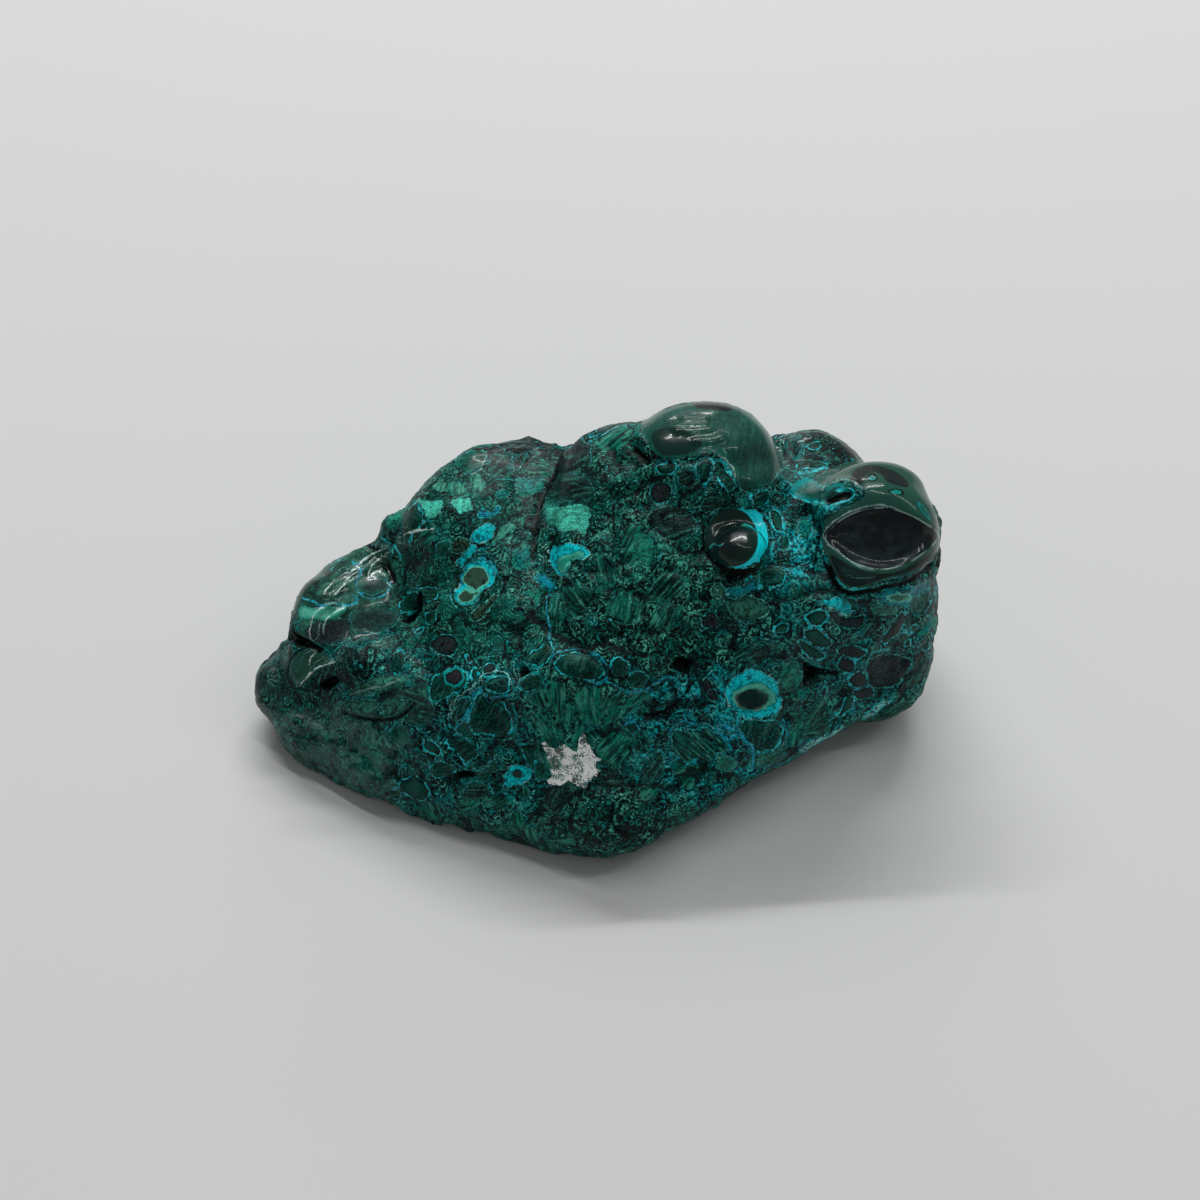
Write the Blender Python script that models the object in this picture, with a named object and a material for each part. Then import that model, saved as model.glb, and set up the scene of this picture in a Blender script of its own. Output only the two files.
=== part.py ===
"""A polished free-form stone of banded malachite and chrysocolla, one solid lump.

The stone is built up from convex blocks (its broad masses) and domes (its polished bulges),
fused into one skin, worn smooth, creased along its valleys and ground flat underneath.
All places and sizes below are real millimetres: +X runs along the stone, +Y to its back,
+Z up, and the origin is the middle of the ground face that the stone rests on.
"""
import math

import bmesh
import bpy
from mathutils import Matrix, Vector, noise

MM = 0.001

# driving dimensions
LENGTH = 117.0
DEPTH = 77.0
HEIGHT = 53.0
FUSE_GRAIN = 1.0          # grain of the fused skin before it is thinned
WORN_PASSES = 7           # rounds of smoothing that wear the arrises down
THINNED_FACES = 8600      # triangles left on the finished stone
UNEVEN_DEPTH = 0.9        # how far the long slow unevenness moves the skin
UNEVEN_LENGTH = 13.0      # how long its waves are
UNEVEN_ROUGHNESS = (1.0, 2.0, 3)   # how its waves fade and shorten, and how many sizes of them there are
VALLEY_REACH = 3.0        # how many of its own widths a valley is felt for
DOME_DIVISIONS = 4
CUT_GAP = 0.0001          # points this close to a cut lie on it
SLIVER = 0.05             # edges shorter than this are dissolved
FAR = 1000.0
STONE_GREEN = (0.012, 0.105, 0.085, 1.0)
STONE_ROUGHNESS = 0.3

# The broad masses, each the convex block around its corners. The base starts 4 mm below the ground, where
# the stone is ground flat.
BLOCKS = {
    "base": [
        (-51, -10, -4), (-48.5, -18, -4), (-41.5, -21.5, -4), (-26, -28, -4), (-12, -31, -4), (3, -33, -4),
        (11, -27, -4), (20, -17, -4), (37, -5, -4), (48, -1, -4), (48, 10, -4), (36, 22, -4),
        (12, 29, -4), (-17, 28, -4), (-37, 17, -4), (-47, 6, -4),
        (-59, -4, 10), (-58, -8, 7), (-55.5, -12, 4), (-52, -15, 8), (-43, -20, 9), (-34, -26, 8),
        (-12, -34, 7), (2, -37, 4),
        (19, -30, 8), (31, -23, 12), (42, -15, 10), (53, -9, 10), (57, 0, 12), (55, 15, 12),
        (44, 27, 11), (30, 35, 9), (10, 37, 12), (-14, 36, 10), (-30, 30, 8), (-43, 21, 10), (-53, 8, 9),
    ],
    "back": [
        (-40, 16, 12), (-30, 27, 12), (-8, 34, 13), (14, 37, 14), (34, 34, 14), (50, 20, 16), (57, 4, 18),
        (-34, 15, 22), (-24, 24, 27), (-10, 30, 30), (8, 32, 31), (24, 32, 30), (40, 26, 28), (52, 12, 30),
        (-5, 20, 36), (12, 24, 38), (30, 20, 38), (46, 8, 36), (-30, 0, 10), (40, -6, 12), (0, -10, 20),
    ],
    "front": [
        (-34, -25, 8), (-12, -33, 8), (2, -37, 4), (19, -30, 9), (31, -23, 12),
        (-30, -17, 20), (-20, -19, 25), (-8, -22, 28), (3, -20, 32), (14, -19, 32), (27, -17, 28),
        (-28, 0, 25), (0, 0, 38), (30, 0, 36), (-20, 22, 25), (25, 25, 30),
    ],
    "left_shoulder": [
        (-39, 3, 20), (-36, 12, 25), (-31, 18, 29), (-24, 23.5, 35.5), (-12, 26.5, 37), (-5, 24, 38),
        (-8, 10, 37), (-18, 11, 35), (-27, 6, 30), (-26, -8, 26), (-12, -12, 31), (-5, -4, 35),
        (-29, 23, 8), (-8, 33, 10), (-36, -12, 18),
    ],
    "left_flank": [
        (-50, -13, 9), (-42, -20, 9), (-33, -26, 8), (-47, -6, 18), (-40, -12, 19), (-31, -16, 21),
        (-27, -4, 25), (-40, 3, 21), (-20, -20, 20), (-20, 0, 10),
    ],
    "middle": [
        (-7, 20, 38), (-7, 8, 41), (-6, -4, 38.5), (-3, -14, 34), (8, -16, 34.5), (20, -15, 35), (26, -6, 40),
        (6, 22, 42), (20, 20, 46), (28, 8, 45), (8, 4, 45), (14, -2, 45), (-8, 30, 24), (24, 34, 24),
    ],
    "right_face": [
        (30, -20, 14), (42, -15, 12), (53, -10, 10), (58.5, -1, 18), (58, 12, 16), (44, 28, 14),
        (29, -17, 30), (36, -12, 37), (46, -9, 36), (56, -2, 30), (57.5, 8, 30), (46, 22, 34), (34, 26, 36),
        (28, 0, 42), (40, 6, 42),
    ],
    "saddle": [
        (18, -15, 34), (28, -15, 32), (35, -11, 37), (31, 2, 42), (38, 8, 41), (20, 4, 45), (24, 20, 40),
        (30, -18, 26), (18, -19, 28), (20, 0, 10), (36, 0, 10),
    ],
    "toe": [
        (-57, -5, 9), (-55, 2, 10), (-51, -1, 16), (-48, 6, 19), (-43, 10.5, 23), (-38.5, 10.5, 25.5),
        (-36, 3, 24), (-39, -4, 21), (-47, -6, 17), (-42, 18, 9), (-38, -14, 14),
    ],
}

# The polished bulges: middle, half sizes, turn about Z and tip about the bulge's own X, in degrees.
DOMES = {
    "crown": ((17.5, 12, 40), (14, 14, 12.5), 0, 0),
    "crown_left": ((5, 12, 37), (13, 12.5, 10.5), 0, 0),
    "left_dome": ((-19, 13.5, 27), (14, 14, 10.5), 25, 0),
    "back_dome": ((37, 20, 28.5), (12, 12, 9.5), 0, 0),
    "eye_dome": ((44.2, 2, 36), (12.5, 12.5, 12.5), 0, 0),
    "toe_dome": ((-44, 1.5, 17), (8.5, 10, 8.5), -20, 0),
    "toe_back": ((-39, 7.5, 19.5), (6, 7, 6), 0, 0),
    "toe_knob": ((-48, -7, 12.5), (5, 4.5, 4.5), 0, 0),
    "long_nodule": ((-37, -9, 18), (8, 4.5, 5), 10, 0),
    "left_foot": ((-46, -10, 5), (10, 9, 7), -30, 0),
    "right_foot": ((47.5, 0, 11), (11, 13, 11), 0, 0),
    "front_nose": ((2, -28.5, 8), (13, 9, 8), 0, 0),
    "ball": ((22.8, -6, 41.5), (4.2, 4.2, 4.2), 0, 0),
    "brown_knob": ((48.5, -7, 15.5), (5.5, 4.5, 5), 0, 0),
    "back_left": ((-25, 19, 13), (16, 11, 12), 25, 20),
    "back_right": ((28, 25, 17), (20, 12, 14), -20, 15),
    "back_middle": ((-2, 26, 18), (17, 12, 15), 10, 25),
    "back_low": ((12, 30, 9), (14, 8, 8), 5, 0),
    "right_bulge": ((48, 14, 20), (10, 14, 11), 20, 10),
}

# The eye dome is ground to a flat almond that looks forward and up.
EYE_FACET_PLACE = (45.5, -5.5, 42.5)
EYE_FACET_NORMAL = (0.05, -0.66, 0.75)

# The valleys: their line, how wide and how deep they are.
VALLEYS = {
    "toe_notch": (((-52, 4, 19), (-47, -3, 18), (-42, -6, 19), (-36, -4, 22)), 1.6, 2.2),
    "shoulder_crease": (((-40, 14, 26), (-37, 8, 26), (-34, 1, 25), (-30, -6, 26)), 2.0, 2.2),
    "shoulder_step": (((-6, 26, 40), (-8, 14, 41), (-9, 4, 39), (-9, -4, 36)), 2.2, 1.8),
    "crown_crease": (((8, 18, 47), (14, 7, 47), (23, 5, 50), (31, 10, 48)), 1.8, 1.5),
    "back_crease": (((33, 14, 43), (32, 22, 38), (32, 30, 30)), 2.0, 2.2),
    "pit_valley": (((14.5, -17.5, 33.5), (13, -20, 31), (8, -25, 25)), 2.2, 2.0),
    "right_crease": (((33, -14, 28), (37, -15, 24), (41, -16, 18)), 2.2, 2.0),
    "ridge_line": (((-54, -9, 13), (-45, -17, 12), (-36, -25, 9)), 1.6, 0.8),
    "eye_crease": (((33, 2, 42), (34, -5, 38), (40, -11.5, 33), (47, -12, 32), (54, -8, 31)), 1.8, 2.0),
}


def remove_everything():
    """Empty the scene."""
    for thing in list(bpy.data.objects):
        bpy.data.objects.remove(thing, do_unlink=True)


def add_block(bm, corners):
    """Fuse-ready convex block around the given corners."""
    block = bmesh.new()
    for corner in corners:
        block.verts.new(Vector(corner) * MM)
    bmesh.ops.convex_hull(block, input=block.verts)
    loose = [v for v in block.verts if not v.link_faces]
    bmesh.ops.delete(block, geom=loose, context="VERTS")
    bmesh.ops.recalc_face_normals(block, faces=block.faces)
    pour_into(bm, block)


def add_dome(bm, middle, half_sizes, turn, tip, facet=None):
    """An egg-shaped bulge, ground flat along a facet where one is given."""
    dome = bmesh.new()
    bmesh.ops.create_icosphere(dome, subdivisions=DOME_DIVISIONS, radius=1.0)
    place = (
        Matrix.Translation(Vector(middle) * MM)
        @ Matrix.Rotation(math.radians(turn), 4, "Z")
        @ Matrix.Rotation(math.radians(tip), 4, "X")
        @ Matrix.Diagonal((*(Vector(half_sizes) * MM), 1.0))
    )
    bmesh.ops.transform(dome, matrix=place, verts=dome.verts)
    if facet:
        grind(dome, Vector(facet[0]) * MM, Vector(facet[1]).normalized())
    pour_into(bm, dome)


def pour_into(bm, piece):
    """Add one bmesh to another."""
    mesh = bpy.data.meshes.new("poured")
    piece.to_mesh(mesh)
    piece.free()
    bm.from_mesh(mesh)
    bpy.data.meshes.remove(mesh)


def grind(bm, place, normal):
    """Cut away what lies beyond a plane and close the cut with one flat face."""
    cut = bmesh.ops.bisect_plane(
        bm, geom=bm.verts[:] + bm.edges[:] + bm.faces[:], dist=CUT_GAP * MM,
        plane_co=place, plane_no=normal, clear_outer=True,
    )
    edges = [g for g in cut["geom_cut"] if isinstance(g, bmesh.types.BMEdge)]
    bmesh.ops.edgenet_fill(bm, edges=edges)
    bmesh.ops.recalc_face_normals(bm, faces=bm.faces)


def distance_to_line(point, line):
    """Distance from a point to a line of straight stretches."""
    best = FAR * MM
    for start, end in zip(line, line[1:]):
        run = end - start
        along = max(0.0, min(1.0, (point - start).dot(run) / run.length_squared))
        best = min(best, (point - start - run * along).length)
    return best


def crease_and_roughen(mesh):
    """Press the valleys in, and give the skin its slow unevenness."""
    bm = bmesh.new()
    bm.from_mesh(mesh)
    lines = []
    for line, width, depth in VALLEYS.values():
        lines.append(([Vector(place) * MM for place in line], width * MM, depth * MM))
    moves = []
    for vert in bm.verts:
        wave = noise.fractal(vert.co / (UNEVEN_LENGTH * MM), *UNEVEN_ROUGHNESS)
        move = wave * UNEVEN_DEPTH * MM
        for line, width, depth in lines:
            away = distance_to_line(vert.co, line) / width
            if away < VALLEY_REACH:
                move -= depth * math.exp(-away * away)
        moves.append(vert.normal * move)
    for vert, move in zip(bm.verts, moves):
        vert.co += move
    bmesh.ops.smooth_vert(
        bm, verts=bm.verts, factor=0.5, use_axis_x=True, use_axis_y=True, use_axis_z=True,
    )
    bm.to_mesh(mesh)
    bm.free()


def settled(thing):
    """The mesh of an object with its modifiers carried out."""
    graph = bpy.context.evaluated_depsgraph_get()
    graph.update()
    return bpy.data.meshes.new_from_object(thing.evaluated_get(graph))


def fused_mesh():
    """All the blocks and domes fused into one worn skin."""
    bm = bmesh.new()
    for corners in BLOCKS.values():
        add_block(bm, corners)
    for name, (middle, half_sizes, turn, tip) in DOMES.items():
        facet = (EYE_FACET_PLACE, EYE_FACET_NORMAL) if name == "eye_dome" else None
        add_dome(bm, middle, half_sizes, turn, tip, facet)
    mesh = bpy.data.meshes.new("rough")
    bm.to_mesh(mesh)
    bm.free()
    rough = bpy.data.objects.new("rough", mesh)
    bpy.context.scene.collection.objects.link(rough)
    fuse = rough.modifiers.new("fuse", "REMESH")
    fuse.mode = "VOXEL"
    fuse.voxel_size = FUSE_GRAIN * MM
    wear = rough.modifiers.new("wear", "SMOOTH")
    wear.factor = 0.5
    wear.iterations = WORN_PASSES
    skin = settled(rough)
    bpy.data.objects.remove(rough, do_unlink=True)
    return skin


def thinned(mesh):
    """The same skin with far fewer triangles."""
    dense = bpy.data.objects.new("dense", mesh)
    bpy.context.scene.collection.objects.link(dense)
    triangles = sum(len(p.vertices) - 2 for p in mesh.polygons)
    thin = dense.modifiers.new("thin", "DECIMATE")
    thin.ratio = THINNED_FACES / triangles
    thin.use_collapse_triangulate = True
    light = settled(dense)
    bpy.data.objects.remove(dense, do_unlink=True)
    return light


def fit_to_size(bm):
    """Bring the stone to its length, depth and height with its box standing on the origin."""
    low = Vector([min(v.co[k] for v in bm.verts) for k in range(3)])
    high = Vector([max(v.co[k] for v in bm.verts) for k in range(3)])
    size = high - low
    wanted = Vector((LENGTH, DEPTH, HEIGHT)) * MM
    foot = Vector(((low.x + high.x) / 2, (low.y + high.y) / 2, low.z))
    bmesh.ops.translate(bm, verts=bm.verts, vec=-foot)
    bmesh.ops.scale(bm, verts=bm.verts, vec=[w / s for w, s in zip(wanted, size)])


def stone_material():
    """Dark green polished stone."""
    material = bpy.data.materials.new("polished_malachite")
    material.use_nodes = True
    shader = material.node_tree.nodes["Principled BSDF"]
    shader.inputs["Base Color"].default_value = STONE_GREEN
    shader.inputs["Roughness"].default_value = STONE_ROUGHNESS
    shader.inputs["Metallic"].default_value = 0.0
    return material


def build_specimen():
    """The stone itself."""
    skin = fused_mesh()
    crease_and_roughen(skin)
    skin = thinned(skin)
    bm = bmesh.new()
    bm.from_mesh(skin)
    grind(bm, Vector((0, 0, 0)), Vector((0, 0, -1)))
    bmesh.ops.dissolve_degenerate(bm, dist=SLIVER * MM, edges=bm.edges)
    bmesh.ops.triangulate(bm, faces=bm.faces)
    fit_to_size(bm)
    bm.to_mesh(skin)
    bm.free()
    skin.name = "specimen"
    skin.materials.append(stone_material())
    skin.shade_smooth()
    specimen = bpy.data.objects.new("specimen", skin)
    bpy.context.scene.collection.objects.link(specimen)
    return specimen


remove_everything()
build_specimen()
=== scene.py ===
"""The polished chrysocolla stone: its worn skin, its growths and veins, and a pale table to stand on."""
import math

import bmesh
import bpy
import numpy as np
from mathutils import Matrix, Vector
from mathutils.bvhtree import BVHTree


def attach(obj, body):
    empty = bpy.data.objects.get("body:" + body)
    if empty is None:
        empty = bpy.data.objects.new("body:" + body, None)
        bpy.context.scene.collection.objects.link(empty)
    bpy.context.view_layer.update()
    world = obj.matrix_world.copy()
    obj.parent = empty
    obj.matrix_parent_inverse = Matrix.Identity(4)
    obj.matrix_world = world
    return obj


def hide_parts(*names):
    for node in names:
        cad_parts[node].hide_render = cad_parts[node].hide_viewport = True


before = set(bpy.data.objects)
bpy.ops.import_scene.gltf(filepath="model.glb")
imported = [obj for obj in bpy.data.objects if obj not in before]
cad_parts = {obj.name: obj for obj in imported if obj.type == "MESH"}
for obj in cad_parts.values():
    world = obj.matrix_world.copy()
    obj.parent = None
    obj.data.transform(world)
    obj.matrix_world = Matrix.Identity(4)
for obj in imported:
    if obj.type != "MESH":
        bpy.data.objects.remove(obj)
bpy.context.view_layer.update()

MM = 0.001
SEED = 41

# ---------------------------------------------------------------- the camera, in millimetres and degrees
PICTURE = 1200.0            # pixels along a side of the square picture
CAMERA_SLOPE = 48.0
CAMERA_FIELD = 38.0
CAMERA_DISTANCE = 290.0
CAMERA_AIM = Vector((0.8, -1.2, 25.0))
LOOK = Vector((0, math.cos(math.radians(CAMERA_SLOPE)), -math.sin(math.radians(CAMERA_SLOPE))))
RIGHT = Vector((1, 0, 0))
UP = RIGHT.cross(LOOK)
CAMERA_PLACE = CAMERA_AIM - LOOK * CAMERA_DISTANCE
FOCAL_PX = PICTURE / 2 / math.tan(math.radians(CAMERA_FIELD / 2))
PX = CAMERA_DISTANCE / FOCAL_PX   # millimetres that a pixel spans on the stone

# ---------------------------------------------------------------- the minerals' colours and the painted light's tints, as 0-255 sRGB
TINTS = {
    "black": (0, 6, 7), "ore": (4, 26, 28), "grey": (34, 60, 58), "slate": (28, 82, 74),
    "brown": (40, 42, 47), "forest": (0, 46, 40), "green": (4, 82, 70), "malachite": (10, 108, 94),
    "emerald": (4, 132, 108), "olive": (38, 96, 84), "moss": (32, 146, 124), "mint": (84, 186, 162),
    "aqua": (84, 226, 198), "teal": (0, 134, 132), "cyan": (0, 196, 204), "sky": (8, 220, 232),
    "ice": (150, 232, 226), "jade": (28, 74, 62), "deep_jade": (6, 42, 36), "ink": (8, 26, 25),
    # On this line and the next, four tints stand for light: a grey sheen and two near-whites for painted
    # highlights and the painted glare, and a grey-green for a painted reflection haze.
    "pupil": (10, 17, 21), "lid": (26, 38, 38), "reflection_grey": (84, 118, 112), "glare_white": (246, 252, 250),
    "sheen": (120, 146, 140), "sage": (54, 126, 104), "azure": (0, 152, 180), "worn": (206, 224, 218),
    "pale": (78, 172, 148), "khaki": (48, 80, 64),
}

# What each kind of growth is: core, rim and vein tints; vein width and doming in mm; how banded, how
# fibrous, how mottled and how glossy it is. Where no growth lies, the first kind counts.
KINDS = {
    "mint": ("aqua", "aqua", "black", 0.12, 0.05, 0.1, 0.4, 0.4, 0.2),
    "mint_teal": ("moss", "mint", "teal", 0.12, 0.05, 0.5, 0.0, 0.2, 0.3),
    "moss": ("moss", "emerald", "teal", 0.12, 0.06, 0.3, 0.4, 0.5, 0.15),
    "sky": ("cyan", "sky", "ice", 0.1, 0.04, 0.5, 0.0, 0.5, 0.3),
    "blue": ("azure", "teal", "sky", 0.1, 0.03, 0.5, 0.0, 0.6, 0.2),
    "teal": ("teal", "moss", "black", 0.14, 0.06, 0.6, 0.0, 0.6, 0.2),
    "teal_dull": ("forest", "teal", "black", 0.12, 0.06, 0.8, 0.2, 0.7, 0.3),
    "green": ("green", "malachite", "teal", 0.18, 0.12, 0.6, 0.2, 0.4, 0.7),
    "emerald": ("emerald", "malachite", "black", 0.05, 0.08, 0.4, 0.8, 0.4, 0.1),
    "feather": ("malachite", "emerald", "black", 0.05, 0.14, 0.15, 0.8, 0.3, 0.05),
    "fan": ("green", "malachite", "black", 0.05, 0.14, 0.2, 0.8, 0.5, 0.05),
    "cell": ("forest", "green", "cyan", 0.3, 0.14, 0.7, 0.3, 0.4, 0.3),
    "ring": ("green", "forest", "cyan", 0.34, 0.12, 0.6, 0.0, 0.3, 0.5),
    "ring_brown": ("brown", "forest", "cyan", 0.3, 0.12, 0.3, 0.0, 0.2, 0.4),
    "striped": ("malachite", "green", "cyan", 0.26, 0.14, 0.9, 0.8, 0.3, 0.3),
    "dark": ("grey", "ore", "teal", 0.14, 0.12, 0.3, 0.5, 0.7, 0.2),
    "brown": ("brown", "ore", "teal", 0.2, 0.2, 0.2, 0.0, 0.5, 0.5),
    "olive": ("olive", "moss", "mint", 0.16, 0.12, 0.4, 0.0, 0.3, 0.4),
    "grey": ("grey", "slate", "teal", 0.14, 0.12, 0.3, 0.5, 0.5, 0.4),
    "moss_grey": ("sage", "slate", "teal", 0.14, 0.14, 0.5, 0.4, 0.6, 0.5),
    "pebble": ("sage", "slate", "mint", 0.16, 0.12, 0.3, 0.2, 0.5, 0.5),
    "ice": ("ice", "cyan", "cyan", 0.1, 0.0, 0.2, 0.0, 0.7, 0.3),
    "hole": ("black", "black", "black", 0.1, 0.0, 0.0, 0.0, 0.0, 0.0),
    "glaze": ("jade", "jade", "forest", 0.1, 0.0, 0.15, 0.0, 0.0, 1.0),
    "crown": ("jade", "green", "forest", 0.05, 0.0, 0.2, 0.12, 0.25, 0.95),
    "ball": ("ink", "deep_jade", "green", 0.05, 0.0, 0.0, 0.0, 0.0, 1.0),
    "glaze_dark": ("deep_jade", "deep_jade", "deep_jade", 0.05, 0.0, 0.0, 0.0, 0.0, 1.0),
    "glaze_grey": ("grey", "slate", "teal", 0.1, 0.0, 0.2, 0.1, 0.3, 1.0),
    "glaze_brown": ("brown", "grey", "slate", 0.1, 0.0, 0.2, 0.1, 0.3, 1.0),
    "glaze_mint": ("mint", "moss", "moss", 0.1, 0.0, 0.2, 0.0, 0.1, 1.0),
    "glaze_black": ("ink", "ink", "deep_jade", 0.05, 0.0, 0.0, 0.0, 0.0, 1.0),
    "teal_glaze": ("green", "teal", "green", 0.05, 0.0, 0.0, 0.0, 0.0, 1.0),
    "crescent": ("cyan", "sky", "sky", 0.05, 0.0, 0.2, 0.0, 0.1, 0.9),
    "leaf": ("pale", "moss", "black", 0.12, 0.05, 0.1, 0.5, 0.4, 0.3),
    "khaki": ("khaki", "khaki", "mint", 0.16, 0.1, 0.2, 0.0, 0.7, 0.5),
    "pool": ("slate", "teal", "teal", 0.1, 0.0, 0.0, 0.0, 0.5, 0.6),
    # The upper lid's outline line, in the sheen tint, is a painted highlight.
    "lid": ("lid", "lid", "sheen", 0.1, 0.0, 0.0, 0.0, 0.0, 1.0),
    "lid_low": ("deep_jade", "ink", "deep_jade", 0.05, 0.0, 0.0, 0.0, 0.0, 1.0),
    "almond": ("pupil", "pupil", "sheen", 0.14, 0.0, 0.0, 0.0, 0.0, 1.0),
    # The last two kinds are painted highlights: thin pale lines along ridges, lids and rims, laid like
    # veins.
    "worn": ("worn", "worn", "worn", 0.05, 0.0, 0.0, 0.0, 0.0, 1.0),
    "rim": ("sheen", "sheen", "sheen", 0.05, 0.0, 0.0, 0.0, 0.0, 1.0),
}
CORE, RIM, VEIN, WIDTH, DOMING, BANDS, FIBRES, MOTTLE, GLOSS = range(9)

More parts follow.
